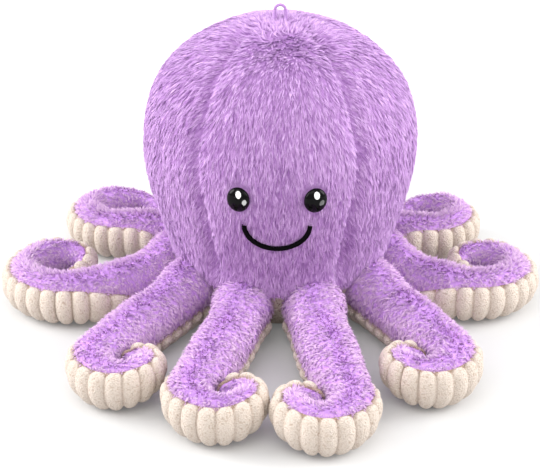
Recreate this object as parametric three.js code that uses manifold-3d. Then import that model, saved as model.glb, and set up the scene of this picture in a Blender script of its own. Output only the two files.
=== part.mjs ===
// Plush octopus: a stuffed head of five sewn panels on a flat base, and eight stuffed tentacles.
// Millimetres, +Z up. The face looks along -Y, +X is to the viewer's right, and the origin is the
// middle of the base, on the floor. Left and right are those of a viewer who faces the octopus.

import * as THREE from 'three';
import { mergeVertices } from 'three/addons/utils/BufferGeometryUtils.js';
import Module from 'manifold-3d';

const wasm = await Module();
wasm.setup();

// Clearances
const FIT_GAP = 0.4; // between two sewn or stuffed pieces that touch
const FILL_GAP = 0.9; // between a tentacle's covers and its stuffing
const SEAM_GAP = 0.6; // between the two covers of a tentacle, along their seam
const FLOOR_GAP = 0.4; // under the lowest rib of a tentacle
const OVERRUN = 5; // how far a cutting tool runs past what it cuts
const SPLIT_BIAS = 0.01; // a diagonal is shorter only by more than this

// Head cover
const HEAD_RADIUS = 96.3;
const HEAD_EQUATOR_Z = 123;
const HEAD_CROWN_RISE = 88.2;
const HEAD_HEM_Z = 35;
const HEAD_HEM_RADIUS = 74;
const HEAD_COVER_THICKNESS = 4;
const HEAD_CROWN_POWER = 2.28; // over 2, so the crown is a little squarer than an ellipse
const HEAD_LOWER_POWER = 1.55;
const CROWN_HOLE_RADIUS = 7;
const SEAM_DEPTH = 2.2; // how far the head's seams sink below its panels
const SEAM_HALF_WIDTH_SHARE = 0.09; // of a panel's width, on each side of a seam
const FRONT_SEAM_ANGLE = 32; // degrees from the front, at the widest ring and below
const CROWN_SEAM_SPREAD = 10; // degrees that the front seams open out towards the crown
const CROWN_SEAM_POWER = 3; // how late they do so
const SIDE_SEAM_ANGLE = 106;
const BACK_SEAM_ANGLE = 180;
const ROW_SHARES = [0, 0.26, 0.58, 1]; // of the height from the hem to the widest ring
const CROWN_ROW_COUNT = 6;
const FACE_COLUMN_COUNT = 5;
const PANEL_COLUMN_COUNT = 3;

// Base
const BASE_FLAT_RADIUS = 46;
const BASE_THICKNESS = 3;
const BASE_OUTLINE_SHARES = [[0.4, 0.14], [0.74, 0.46]]; // out towards the hem, and up towards it
const ROUND_SIDES = 28;
const FILL_SIDES = 20;
const WAIST_STEPS = 2;
const WAIST_ANGLE = 62; // degrees that the filling follows the roots' round backs, up from their middle
const FILL_FOOT_RISE = 6; // from the filling's foot to its waist's lower edge
const FILL_SIDE_SHARE = 1.5; // of a root's room: how far above the roots' middle the sides begin

// Tentacles
const TENTACLE_HALF_WIDTH = 22;
const TENTACLE_HALF_HEIGHT = 20.6;
const TENTACLE_COVER_THICKNESS = 3;
const SHAFT_LENGTH = 104;
const TIP_LIFT = 7; // how far the thin tip is raised, so that it lies level with its curl
const RIB_PITCH = 12;
const RIB_HEIGHT = 1.9;
const STATIONS_PER_RIB = 2; // a valley and a crest
const STRAIGHT_TWIST = 6; // degrees of twist that still count as straight
const WIDTH_SHARES = [[0, 0.923], [0.3, 1], [0.58, 0.86], [0.82, 0.66], [1, 0.32]]; // place, width
const HEIGHT_SHARES = [[0, 0.985], [0.3, 1], [0.58, 0.92], [0.82, 0.78], [1, 0.42]];
const CURL_MEAN_SHARE = 0.8; // mean radius of a curl's middle line over the half width
const TIP_LIFT_START_SHARE = 0.72;
const UNDERSIDE_HALF_ANGLE = 72; // degrees of the tentacle's section, each side of its middle
const CURL_TWIST = 58; // degrees that the ribbed underside turns outwards along the curl
const TWIST_START_SHARE = 0.55; // of the shaft
const TWIST_LENGTH_SHARE = 0.75; // of the shaft
const ROOT_ROW_ANGLES = [32, 61]; // degrees round the ball at the root
const TIP_ROW_ANGLES = [136]; // degrees round the tip
const COVER_FACE_COUNT = 5;
const LINING_FACE_COUNT = 3;
const FILL_CORNERS = [2, 1, 0, -1, -2]; // each times the underside's half angle
const PATH_STEP_SHARE = 0.125; // of the rib pitch
const SOCKET_SIDES = 12;
const SOCKET_BALL_STEPS = 4;
const SWING_GAP = 1.2; // beside the shaft, over its whole swing
const HINGE_OFFSET = 0.5; // of a root's centre, out from the head's hem
const HINGE_RADIUS = HEAD_HEM_RADIUS + HINGE_OFFSET;
const LIFT_UP = 24; // degrees
const LIFT_DOWN = -20;

// side: -1 left, 1 right. root: degrees round the head from the front. lead: degrees that the shaft
// turns forward from there, as a negative number. bend: degrees along the shaft. turn: degrees of the
// curl. curl: -1 towards the front, 1 towards the back.
const TENTACLES = [
  { name: 'front_left', side: -1, root: 19.8, lead: -5.6, bend: 6.5, turn: 262, curl: -1,
    shaftShare: 1.0, hollowShares: [0.22, 0.02] },
  { name: 'fore_left', side: -1, root: 57, lead: -23.2, bend: -0.5, turn: 262, curl: -1,
    shaftShare: 0.985, hollowShares: [0.19, 0.02] },
  { name: 'side_left', side: -1, root: 96.5, lead: -62, bend: 38, turn: 262, curl: 1,
    shaftShare: 0.79, hollowShares: [0.84, 0.22] },
  { name: 'rear_left', side: -1, root: 142, lead: -54, bend: 9, turn: 190, curl: 1,
    shaftShare: 0.76, hollowShares: [0.45, 0.55] },
  { name: 'front_right', side: 1, root: 18.8, lead: -11.2, bend: 6, turn: 262, curl: -1,
    shaftShare: 1.1, hollowShares: [0.22, 0.02] },
  { name: 'fore_right', side: 1, root: 56.8, lead: -24.5, bend: -3.5, turn: 262, curl: -1,
    shaftShare: 0.925, hollowShares: [0.21, 0.02] },
  { name: 'side_right', side: 1, root: 95.5, lead: -62, bend: 36, turn: 262, curl: 1,
    shaftShare: 0.65, hollowShares: [0.74, 0.18] },
  { name: 'rear_right', side: 1, root: 141, lead: -54, bend: 7, turn: 190, curl: 1,
    shaftShare: 0.69, hollowShares: [0.24, 0.36] },
];

// Eyes
const FACE_TURN = -1.5; // degrees that the face and its seams are turned to the viewer's left
const EYE_ANGLE = 15; // degrees from the face's middle
const EYE_Z = 119.5;
const EYE_HALF_WIDTH = 7.8;
const EYE_HALF_HEIGHT = 8.8;
const EYE_DOME_RISE = 5.4;
const EYE_RIM = 1.2;
const STEM_RADIUS = 2.2;
const WASHER_RADIUS = 7.5;
const WASHER_THICKNESS = 1.6;
const WASHER_GAP = 2.2; // behind the lining, which is flat between its folds
const STEM_TAIL = 1.6; // past the washer
const EYE_SIDES = 16;
const EYE_DOME_STEPS = 5;
const SMALL_SIDES = 10;

// Mouth
const MOUTH_HALF_WIDTH = 22;
const MOUTH_TOP_Z = 98.5;
const MOUTH_DROP = 17.5;
const MOUTH_THREAD_WIDTH = 2.9;
const MOUTH_THREAD_RISE = 1.3;
const MOUTH_STEPS = 18;
const MOUTH_SECTION_SHARES = [[-1, 0], [-0.5, 1], [0.5, 1], [1, 0]]; // across and up

// Hanging loop
const LOOP_CORD_RADIUS = 1;
const LOOP_HALF_WIDTH = 3.7; // to the middle of the cord
const LOOP_RISE = 10.5; // from the hinge to the top of the cord's middle line
const LOOP_SINK = 2.4; // how far the hinge lies below the crown
const LOOP_FOOT_RADIUS = 1.9;
const LOOP_FOOT_HALF_LENGTH = 5.6;
const LOOP_STEPS = 20;
const LOOP_SIDES = 8;

const FINISHES = {
  headPlush: { color: 0xbc92cb, roughness: 0.95 },
  tentaclePlush: { color: 0xc89dd7, roughness: 0.95 },
  creamKnit: { color: 0xd7cabf, roughness: 0.9 },
  fibre: { color: 0xf1eee8, roughness: 1 },
  blackGloss: { color: 0x0b0a0c, roughness: 0.12 },
  blackThread: { color: 0x161317, roughness: 0.7 },
  paleCord: { color: 0xc6a0d6, roughness: 0.8 },
  whitePlastic: { color: 0xe4e2dc, roughness: 0.5 },
};

const radians = THREE.MathUtils.degToRad;

function finish(name) {
  return new THREE.MeshStandardMaterial({ ...FINISHES[name], metalness: 0 });
}

function named(name, geometry, material) {
  const mesh = new THREE.Mesh(geometry, material);
  mesh.name = name;
  return mesh;
}

// Solids and cuts

function weld(geometry) {
  const bare = geometry.index ? geometry.toNonIndexed() : geometry.clone();
  bare.deleteAttribute('normal');
  bare.deleteAttribute('uv');
  return mergeVertices(bare);
}

function toSolid(geometry) {
  const welded = weld(geometry);
  return new wasm.Manifold(new wasm.Mesh({
    numProp: 3,
    vertProperties: new Float32Array(welded.attributes.position.array),
    triVerts: new Uint32Array(welded.index.array),
  }));
}

function toGeometry(solid) {
  const mesh = solid.getMesh();
  const geometry = new THREE.BufferGeometry();
  geometry.setAttribute('position', new THREE.BufferAttribute(mesh.vertProperties.slice(), 3));
  geometry.setIndex(new THREE.BufferAttribute(mesh.triVerts.slice(), 1));
  geometry.computeVertexNormals();
  return geometry;
}

function join(geometries) {
  return geometries.map(toSolid).reduce((sum, next) => sum.add(next));
}

// Cuts a piece and keeps its largest body, without the crumbs that two tools may leave between them.
function cut(geometry, tools) {
  const rest = tools.reduce((left, tool) => left.subtract(tool), toSolid(geometry));
  const bodies = rest.decompose();
  return toGeometry(bodies.reduce((most, body) => (body.volume() > most.volume() ? body : most)));
}

// A closed skin from points and triangles, turned so that its faces point out.
function closedGeometry(points, triangles) {
  const volume = triangles.reduce((sum, [a, b, c]) => {
    const cross = new THREE.Vector3().crossVectors(points[b], points[c]);
    return sum + points[a].dot(cross);
  }, 0);
  const facing = volume > 0 ? triangles : triangles.map(([a, b, c]) => [a, c, b]);
  const geometry = new THREE.BufferGeometry().setFromPoints(points);
  geometry.setIndex(facing.flat());
  geometry.computeVertexNormals();
  return geometry;
}

// Splits a four-sided face along the shorter diagonal of its guide points, so that two pieces that
// face each other across a gap split alike.
function splitFace([a, b, c, d], guide) {
  const [atA, atB, atC, atD] = guide;
  const rising = atA.distanceTo(atC) <= atB.distanceTo(atD) + SPLIT_BIAS;
  return rising ? [[a, b, c], [a, c, d]] : [[a, b, d], [b, c, d]];
}

// Lofts closed sections of equal point count. outlines holds the first and last section in the
// plane, for their end faces, and guides the points by which each face is split.
function loft(rows, outlines, guides = rows) {
  const size = rows[0].length;
  const triangles = [];
  for (let row = 0; row + 1 < rows.length; row += 1) {
    for (let column = 0; column < size; column += 1) {
      const next = (column + 1) % size;
      const low = row * size;
      const high = low + size;
      const corners = [low + column, low + next, high + next, high + column];
      const [near, far] = [guides[row], guides[row + 1]];
      const guide = [near[column], near[next], far[next], far[column]];
      triangles.push(...splitFace(corners, guide));
    }
  }
  const last = (rows.length - 1) * size;
  const forward = !THREE.ShapeUtils.isClockWise(outlines[0]);
  for (const [a, b, c] of THREE.ShapeUtils.triangulateShape(outlines[0], [])) {
    triangles.push(forward ? [c, b, a] : [a, b, c]);
  }
  const lastForward = !THREE.ShapeUtils.isClockWise(outlines[1]);
  for (const [a, b, c] of THREE.ShapeUtils.triangulateShape(outlines[1], [])) {
    triangles.push(lastForward ? [last + a, last + b, last + c] : [last + c, last + b, last + a]);
  }
  return closedGeometry(rows.flat(), triangles);
}

function lathe(points, sides) {
  const geometry = new THREE.LatheGeometry(points.map(([r, z]) => new THREE.Vector2(r, z)), sides);
  geometry.rotateX(radians(90));
  return geometry;
}

// Head

function headRadius(z) {
  if (z >= HEAD_EQUATOR_Z) {
    const rise = Math.min(1, (z - HEAD_EQUATOR_Z) / HEAD_CROWN_RISE);
    return HEAD_RADIUS * (1 - rise ** HEAD_CROWN_POWER) ** (1 / HEAD_CROWN_POWER);
  }
  const drop = (HEAD_EQUATOR_Z - z) / (HEAD_EQUATOR_Z - HEAD_HEM_Z);
  return HEAD_RADIUS - (HEAD_RADIUS - HEAD_HEM_RADIUS) * drop ** HEAD_LOWER_POWER;
}

function crownHoleZ(radius) {
  const share = 1 - (radius / HEAD_RADIUS) ** HEAD_CROWN_POWER;
  return HEAD_EQUATOR_Z + HEAD_CROWN_RISE * share ** (1 / HEAD_CROWN_POWER);
}

// The heights of the cover's rows, close together where the crown rounds over.
function headRowHeights() {
  const below = ROW_SHARES.map((share) => (
    THREE.MathUtils.lerp(HEAD_HEM_Z + FIT_GAP, HEAD_EQUATOR_Z, share)));
  const top = crownHoleZ(CROWN_HOLE_RADIUS);
  const above = [];
  for (let row = 1; row <= CROWN_ROW_COUNT; row += 1) {
    const share = Math.sin(radians(90 * row / CROWN_ROW_COUNT));
    above.push(THREE.MathUtils.lerp(HEAD_EQUATOR_Z, top, share));
  }
  return [...below, ...above];
}

// The direction from the axis in which the skin faces, as radius and height, at a height.
function headNormal(z) {
  const step = FIT_GAP;
  const low = Math.max(HEAD_HEM_Z, z - step);
  const high = Math.min(crownHoleZ(CROWN_HOLE_RADIUS), z + step);
  return new THREE.Vector2(high - low, headRadius(low) - headRadius(high)).normalize();
}

function seamAngle(base, z) {
  const rise = Math.max(0, (z - HEAD_EQUATOR_Z) / HEAD_CROWN_RISE);
  const front = Math.abs(base) === FRONT_SEAM_ANGLE;
  return base + FACE_TURN + (front ? Math.sign(base) * CROWN_SEAM_SPREAD * rise ** CROWN_SEAM_POWER : 0);
}

// A point of the head's skin, at an angle from the front towards the viewer's right, in by a depth.
function headPoint(angle, z, depth) {
  const facing = headNormal(z);
  const radius = headRadius(z) - facing.x * depth;
  const turn = radians(angle);
  return new THREE.Vector3(radius * Math.sin(turn), -radius * Math.cos(turn), z - facing.y * depth);
}

// One panel of the head between two seams. Its edges sink into the seams.
function headPanel(fromSeam, toSeam, columnCount) {
  const inner = [];
  for (let column = 0; column <= columnCount; column += 1) {
    const share = column / columnCount;
    inner.push(THREE.MathUtils.lerp(SEAM_HALF_WIDTH_SHARE, 1 - SEAM_HALF_WIDTH_SHARE, share));
  }
  const outerShares = [0, ...inner, 1];
  const liningShares = [];
  for (let column = columnCount; column >= 0; column -= 1) {
    liningShares.push(column / columnCount);
  }
  const rows = headRowHeights().map((z) => {
    const margin = THREE.MathUtils.radToDeg(FIT_GAP / 2 / headRadius(z));
    const from = seamAngle(fromSeam, z) + margin;
    const to = seamAngle(toSeam, z) - margin;
    const outer = outerShares.map((share) => {
      const edge = share === 0 || share === 1;
      return headPoint(THREE.MathUtils.lerp(from, to, share), z, edge ? SEAM_DEPTH : 0);
    });
    const lining = liningShares.map((share) => (
      headPoint(THREE.MathUtils.lerp(from, to, share), z, HEAD_COVER_THICKNESS)));
    return [...outer, ...lining];
  });
  const flat = (row) => row.map((point) => new THREE.Vector2(point.x, point.y));
  return loft(rows, [flat(rows[0]), flat(rows[rows.length - 1])]);
}

function baseOutline(inset) {
  const reach = HEAD_HEM_RADIUS - BASE_FLAT_RADIUS;
  const bowl = BASE_OUTLINE_SHARES.map(([out, up]) => (
    [BASE_FLAT_RADIUS + reach * out - inset, HEAD_HEM_Z * up + inset / 2]));
  const flat = [[0, inset], [BASE_FLAT_RADIUS - inset / 2, inset]];
  return [...flat, ...bowl, [HEAD_HEM_RADIUS - inset, HEAD_HEM_Z]];
}

function basePanel() {
  const points = [...baseOutline(0), ...baseOutline(BASE_THICKNESS).reverse()];
  return lathe(points, ROUND_SIDES);
}

// The fibre that fills the head, inside the flats of the panels' linings. It rests on the base and
// draws in to a waist above it, behind the roots of the tentacles.
function headStuffing() {
  const liningAngle = (BACK_SEAM_ANGLE - SIDE_SEAM_ANGLE) / PANEL_COLUMN_COUNT;
  const flatShare = Math.cos(radians(liningAngle / 2));
  const reach = rootRadius() + FILL_GAP + FIT_GAP;
  const waist = [];
  for (let step = 0; step <= WAIST_STEPS; step += 1) {
    const angle = radians(WAIST_ANGLE * step / WAIST_STEPS);
    waist.push([HINGE_RADIUS - reach * Math.cos(angle), hingeZ() + reach * Math.sin(angle)]);
  }
  const rest = BASE_THICKNESS + FIT_GAP;
  const foot = [
    [0, rest], [BASE_FLAT_RADIUS - BASE_THICKNESS, rest], [waist[0][0], rest + FILL_FOOT_RISE]];
  const depth = HEAD_COVER_THICKNESS + FIT_GAP;
  const sideStart = hingeZ() + FILL_SIDE_SHARE * reach;
  const sides = headRowHeights().filter((z) => z > sideStart).map((z) => {
    const facing = headNormal(z);
    return [(headRadius(z) - facing.x * depth) * flatShare, z - facing.y * depth];
  });
  const top = sides[sides.length - 1];
  return lathe([...foot, ...waist, ...sides, [0, top[1]]], FILL_SIDES);
}

// Tentacles

function shareAt(table, place) {
  const found = table.findIndex(([at]) => at >= place);
  if (found <= 0) {
    return table[found < 0 ? table.length - 1 : 0][1];
  }
  const [fromPlace, from] = table[found - 1];
  const [toPlace, to] = table[found];
  return THREE.MathUtils.lerp(from, to, (place - fromPlace) / (toPlace - fromPlace));
}

// The ball at the root, which the head's sockets, base and stuffing leave room for.
function rootRadius() {
  return TENTACLE_HALF_WIDTH * shareAt(WIDTH_SHARES, 0);
}

function hingeZ() {
  return TENTACLE_HALF_HEIGHT * shareAt(HEIGHT_SHARES, 0) + RIB_HEIGHT + FLOOR_GAP;
}

function hingePoint(tentacle) {
  const angle = radians(tentacle.root);
  return new THREE.Vector3(
    tentacle.side * HINGE_RADIUS * Math.sin(angle), -HINGE_RADIUS * Math.cos(angle), hingeZ());
}

function tentacleSize(place) {
  const halfHeight = TENTACLE_HALF_HEIGHT * shareAt(HEIGHT_SHARES, place);
  const lift = TIP_LIFT * THREE.MathUtils.smoothstep(place, TIP_LIFT_START_SHARE, 1);
  return {
    halfWidth: TENTACLE_HALF_WIDTH * shareAt(WIDTH_SHARES, place),
    halfHeight,
    z: halfHeight + RIB_HEIGHT + FLOOR_GAP + lift,
  };
}

// Walks the tentacle's middle line: a shaft that bends evenly, then a curl that closes in as the
// tentacle thins, so that its hollow stays open by the given shares of the half width.
function tentaclePath(tentacle) {
  const step = RIB_PITCH * PATH_STEP_SHARE;
  const shaft = SHAFT_LENGTH * tentacle.shaftShare;
  const [hollowStart, hollowEnd] = tentacle.hollowShares.map((share) => share * TENTACLE_HALF_WIDTH);
  const meanRadius = TENTACLE_HALF_WIDTH * CURL_MEAN_SHARE + (hollowStart + hollowEnd) / 2;
  const total = shaft + radians(tentacle.turn) * meanRadius;
  const start = hingePoint(tentacle);
  let heading = tentacle.root + tentacle.lead;
  let turned = 0;
  let length = 0;
  let ribLength = 0;
  let { x, y } = start;
  const path = [];
  while (turned < tentacle.turn) {
    const size = tentacleSize(Math.min(1, length / total));
    const twistAt = (length / shaft - TWIST_START_SHARE) / TWIST_LENGTH_SHARE;
    const twist = CURL_TWIST * THREE.MathUtils.smoothstep(twistAt, 0, 1);
    path.push({ ...size, x, y, heading, twist, length, ribLength });
    const curling = length >= shaft;
    const hollow = THREE.MathUtils.lerp(hollowStart, hollowEnd, turned / tentacle.turn);
    const radius = size.halfWidth + hollow;
    const turn = curling ? THREE.MathUtils.radToDeg(step / radius) : 0;
    heading += curling ? tentacle.curl * turn : tentacle.bend * step / shaft;
    turned += turn;
    length += step;
    const outside = curling ? 1 + size.halfWidth * Math.sin(radians(twist)) / radius : 1;
    ribLength += step * outside;
    x += tentacle.side * step * Math.sin(radians(heading));
    y -= step * Math.cos(radians(heading));
  }
  return path;
}

// The valleys and crests of the ribs in turn, evenly spaced along the ribbed side.
function tentacleStations(tentacle) {
  const path = tentaclePath(tentacle);
  const whole = path[path.length - 1].ribLength;
  const ribCount = Math.round(whole / RIB_PITCH);
  const stations = [];
  for (let half = 0; half <= 2 * ribCount; half += 1) {
    const at = Math.min(whole * half / (2 * ribCount), whole);
    const found = Math.max(1, path.findIndex((point) => point.ribLength >= at));
    const from = path[found - 1];
    const to = path[found];
    const share = (at - from.ribLength) / (to.ribLength - from.ribLength);
    const mix = (key) => THREE.MathUtils.lerp(from[key], to[key], share);
    stations.push(station(tentacle, mix));
  }
  return stations;
}

function station(tentacle, value) {
  const heading = radians(value('heading'));
  const forward = new THREE.Vector3(tentacle.side * Math.sin(heading), -Math.cos(heading), 0);
  const away = new THREE.Vector3(forward.y, -forward.x, 0);
  const outward = away.multiplyScalar(tentacle.side * tentacle.curl);
  return {
    centre: new THREE.Vector3(value('x'), value('y'), value('z')),
    forward,
    outward,
    halfWidth: value('halfWidth'),
    halfHeight: value('halfHeight'),
    twist: value('twist'),
    round: 90,
  };
}

// Where the skin lies at an angle of the section, in by an inset: 0 is the middle of the ribbed
// underside, which looks down on the shaft and outwards on the curl.
function tentaclePoint(place, angle, inset) {
  const at = radians(angle + place.twist);
  const ring = Math.sin(radians(place.round));
  const along = -Math.cos(radians(place.round));
  const across = (place.halfWidth - inset) * ring * Math.sin(at);
  const up = -(place.halfHeight - inset) * ring * Math.cos(at);
  return place.centre.clone()
    .addScaledVector(place.forward, (place.halfWidth - inset) * along)
    .addScaledVector(place.outward, across)
    .add(new THREE.Vector3(0, 0, up));
}

// Where every cover's faces at an angle are judged for their split.
function guidePoint(place, angle) {
  return tentaclePoint(place, angle, TENTACLE_COVER_THICKNESS);
}

function roundedEnd(place, angles) {
  return angles.map((round) => ({ ...place, round }));
}

// The stations at which the covers and the stuffing share a row: every second valley of the straight
// shaft, and every valley where the tentacle twists and curls.
function rowStations(stations) {
  const places = [0];
  while (places[places.length - 1] < stations.length - 1) {
    const at = places[places.length - 1];
    const far = at + 2 * STATIONS_PER_RIB;
    const straight = far < stations.length && stations[far].twist < STRAIGHT_TWIST;
    places.push(straight ? far : at + STATIONS_PER_RIB);
  }
  return places;
}

// The shared rows: the ball at the root, the chosen valleys and the round tip.
function tentacleRows(stations, places) {
  const first = stations[0];
  const last = stations[stations.length - 1];
  const root = { ...first, halfHeight: first.halfWidth };
  const valleys = places.map((place) => stations[place]);
  valleys[0] = root;
  return [...roundedEnd(root, ROOT_ROW_ANGLES), ...valleys, ...roundedEnd(last, TIP_ROW_ANGLES)];
}

function sectionOutline(angles, insets) {
  return angles.map((angle, index) => {
    const reach = TENTACLE_HALF_WIDTH - insets[index];
    return new THREE.Vector2(reach * Math.sin(radians(angle)), -reach * Math.cos(radians(angle)));
  });
}

// Half of the gap between the two covers, as an angle of the section.
function seamHalfAngle() {
  return THREE.MathUtils.radToDeg(SEAM_GAP / 2 / rootRadius());
}

function tentacleLoft(rows, angles, insets) {
  const settled = angles.map(([angle, side]) => angle + side * seamHalfAngle());
  const skin = rows.map((place) => (
    settled.map((angle, index) => tentaclePoint(place, angle, insets[index]))));
  const guides = rows.map((place) => angles.map(([angle]) => guidePoint(place, angle)));
  const outline = sectionOutline(settled, insets);
  return loft(skin, [outline, outline], guides);
}

// The furry cover over the top: from one seam over the back to the other, and back along its lining.
function topCover(rows) {
  const outside = arcAngles(COVER_FACE_COUNT);
  const lining = arcAngles(LINING_FACE_COUNT).reverse();
  const insets = [...outside.map(() => 0), ...lining.map(() => TENTACLE_COVER_THICKNESS)];
  return tentacleLoft(rows, [...outside, ...lining], insets);
}

// The angles over the back from seam to seam, each with the side of the seam that it lies on.
function arcAngles(faceCount) {
  const span = 360 - 2 * UNDERSIDE_HALF_ANGLE;
  const angles = [];
  for (let step = 0; step <= faceCount; step += 1) {
    angles.push([UNDERSIDE_HALF_ANGLE + span * step / faceCount, 0]);
  }
  angles[0][1] = 1;
  angles[faceCount][1] = -1;
  return angles;
}

function tentacleStuffing(rows) {
  const inset = TENTACLE_COVER_THICKNESS + FILL_GAP;
  const angles = FILL_CORNERS.map((corner) => [corner * UNDERSIDE_HALF_ANGLE, 0]);
  return tentacleLoft(rows, angles, angles.map(() => inset));
}

// The ribbed cover: its seams run straight between the shared rows, and between them its face has
// one or two ribs, each a crest between two valleys.
function ribbedUnderside(rows, stations, places) {
  const points = [];
  const triangles = [];
  const add = (place, angle, inset) => points.push(tentaclePoint(place, angle, inset)) - 1;
  const edge = UNDERSIDE_HALF_ANGLE - seamHalfAngle();
  const faceAngles = [-UNDERSIDE_HALF_ANGLE / 2, 0, UNDERSIDE_HALF_ANGLE / 2];
  const addFace = (place, inset) => faceAngles.map((angle) => add(place, angle, inset));
  const main = rows.map((place) => ({
    face: addFace(place, 0),
    edges: [add(place, -edge, 0), add(place, edge, 0)],
    lining: [-edge, 0, edge].map((angle) => add(place, angle, TENTACLE_COVER_THICKNESS)),
  }));
  for (let row = 0; row + 1 < main.length; row += 1) {
    const at = places[row - ROOT_ROW_ANGLES.length];
    const far = places[row - ROOT_ROW_ANGLES.length + 1];
    const between = [];
    for (let index = at + 1; index < far; index += 1) {
      between.push(addFace(stations[index], index % STATIONS_PER_RIB ? -RIB_HEIGHT : 0));
    }
    const [low, high] = [main[row], main[row + 1]];
    stitchFace([low.face, ...between, high.face], low.edges, high.edges, triangles);
    stitchLining([low, high], [rows[row], rows[row + 1]], triangles);
  }
  capRow(main[0], triangles, false);
  capRow(main[main.length - 1], triangles, true);
  return closedGeometry(points, triangles);
}

// The ribbed face between two shared rows. ladder holds its three inner points at each station.
function stitchFace(ladder, lowEdges, highEdges, triangles) {
  const rungs = ladder.length - 1;
  for (let rung = 0; rung < rungs; rung += 1) {
    const low = ladder[rung];
    const high = ladder[rung + 1];
    for (let column = 0; column + 1 < low.length; column += 1) {
      triangles.push([low[column], low[column + 1], high[column + 1]]);
      triangles.push([low[column], high[column + 1], high[column]]);
    }
    const [left, right] = rung < rungs / 2 ? lowEdges : highEdges;
    triangles.push([left, low[0], high[0]], [low[2], right, high[2]]);
  }
  const middle = ladder[Math.ceil(rungs / 2)];
  triangles.push([lowEdges[0], middle[0], highEdges[0]], [lowEdges[1], highEdges[1], middle[2]]);
}

// The lining and the two seam walls between two shared rows.
function stitchLining([low, high], [lowPlace, highPlace], triangles) {
  const angles = [-UNDERSIDE_HALF_ANGLE, 0, UNDERSIDE_HALF_ANGLE];
  for (let column = 0; column + 1 < angles.length; column += 1) {
    const next = column + 1;
    const corners = [low.lining[next], low.lining[column], high.lining[column], high.lining[next]];
    const [near, far] = [angles[next], angles[column]];
    const guide = [[lowPlace, near], [lowPlace, far], [highPlace, far], [highPlace, near]];
    triangles.push(...splitFace(corners, guide.map(([place, angle]) => guidePoint(place, angle))));
  }
  triangles.push([low.lining[0], low.edges[0], high.edges[0]]);
  triangles.push([low.lining[0], high.edges[0], high.lining[0]]);
  triangles.push([low.edges[1], low.lining[2], high.lining[2]]);
  triangles.push([low.edges[1], high.lining[2], high.edges[1]]);
}

function capRow({ face, edges, lining }, triangles, atEnd) {
  const ring = [
    [edges[0], face[0], lining[0]], [face[0], lining[1], lining[0]], [face[0], face[1], lining[1]],
    [face[1], face[2], lining[1]], [face[2], lining[2], lining[1]], [face[2], edges[1], lining[2]],
  ];
  triangles.push(...ring.map(([a, b, c]) => (atEnd ? [a, b, c] : [a, c, b])));
}

function tentacleParts(tentacle) {
  const stations = tentacleStations(tentacle);
  const places = rowStations(stations);
  const rows = tentacleRows(stations, places);
  const prefix = `tentacle_${tentacle.name}`;
  const underside = ribbedUnderside(rows, stations, places);
  return [
    named(`${prefix}_top_cover`, topCover(rows), finish('tentaclePlush')),
    named(`${prefix}_ribbed_underside`, underside, finish('creamKnit')),
    named(`${prefix}_stuffing`, tentacleStuffing(rows), finish('fibre')),
  ];
}

// What the head gives way to at a root: the ball, widened in front to the whole swing of the shaft.
function socketTool(tentacle) {
  const flatShare = Math.cos(radians(180 / SOCKET_SIDES)) * Math.cos(radians(45 / SOCKET_BALL_STEPS));
  const grow = 1 / flatShare;
  const ball = (rootRadius() + FIT_GAP) * grow;
  const shaft = (TENTACLE_HALF_WIDTH + SWING_GAP) * grow;
  const reach = (HEAD_RADIUS - HINGE_RADIUS + OVERRUN) / Math.cos(radians(tentacle.lead));
  const sections = [];
  for (let step = 1; step <= SOCKET_BALL_STEPS; step += 1) {
    const polar = radians(90 * step / SOCKET_BALL_STEPS);
    const ring = ball * Math.sin(polar);
    sections.push({ at: -ball * Math.cos(polar), across: ring, rise: ring, above: 0, below: 0 });
  }
  const [up, down] = [LIFT_UP, -LIFT_DOWN].map(radians);
  sections[sections.length - 1].rise = ball / Math.cos(up);
  sections.push({
    at: reach,
    across: shaft,
    rise: shaft / Math.cos(up),
    above: reach * Math.tan(up),
    below: reach * Math.tan(down),
  });
  const heading = radians(tentacle.root + tentacle.lead);
  const forward = new THREE.Vector3(tentacle.side * Math.sin(heading), -Math.cos(heading), 0);
  const right = new THREE.Vector3(-forward.y, forward.x, 0);
  const outlines = sections.map(socketOutline);
  const rows = outlines.map((outline, index) => outline.map((point) => hingePoint(tentacle)
    .addScaledVector(forward, sections[index].at)
    .addScaledVector(right, point.x)
    .add(new THREE.Vector3(0, 0, point.y))));
  return toSolid(loft(rows, [outlines[0], outlines[outlines.length - 1]]));
}

// A round section, pulled apart into an upper and a lower half.
function socketOutline({ across, rise, above, below }) {
  const outline = [];
  for (let side = 0; side < SOCKET_SIDES; side += 1) {
    const angle = radians(360 * (side + 0.5) / SOCKET_SIDES);
    const shift = Math.sin(angle) > 0 ? above : -below;
    outline.push(new THREE.Vector2(across * Math.cos(angle), rise * Math.sin(angle) + shift));
  }
  return outline;
}

// Face

function eyeFrame(side) {
  const facing = headNormal(EYE_Z);
  const angle = side * EYE_ANGLE + FACE_TURN;
  const place = headPoint(angle, EYE_Z, 0);
  const pitch = Math.atan2(facing.y, facing.x);
  return new THREE.Matrix4().makeTranslation(place.x, place.y, place.z)
    .multiply(new THREE.Matrix4().makeRotationZ(radians(angle)))
    .multiply(new THREE.Matrix4().makeRotationX(radians(90) - pitch));
}

function eyeStemLength() {
  return HEAD_COVER_THICKNESS + WASHER_GAP + WASHER_THICKNESS + STEM_TAIL;
}

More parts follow.
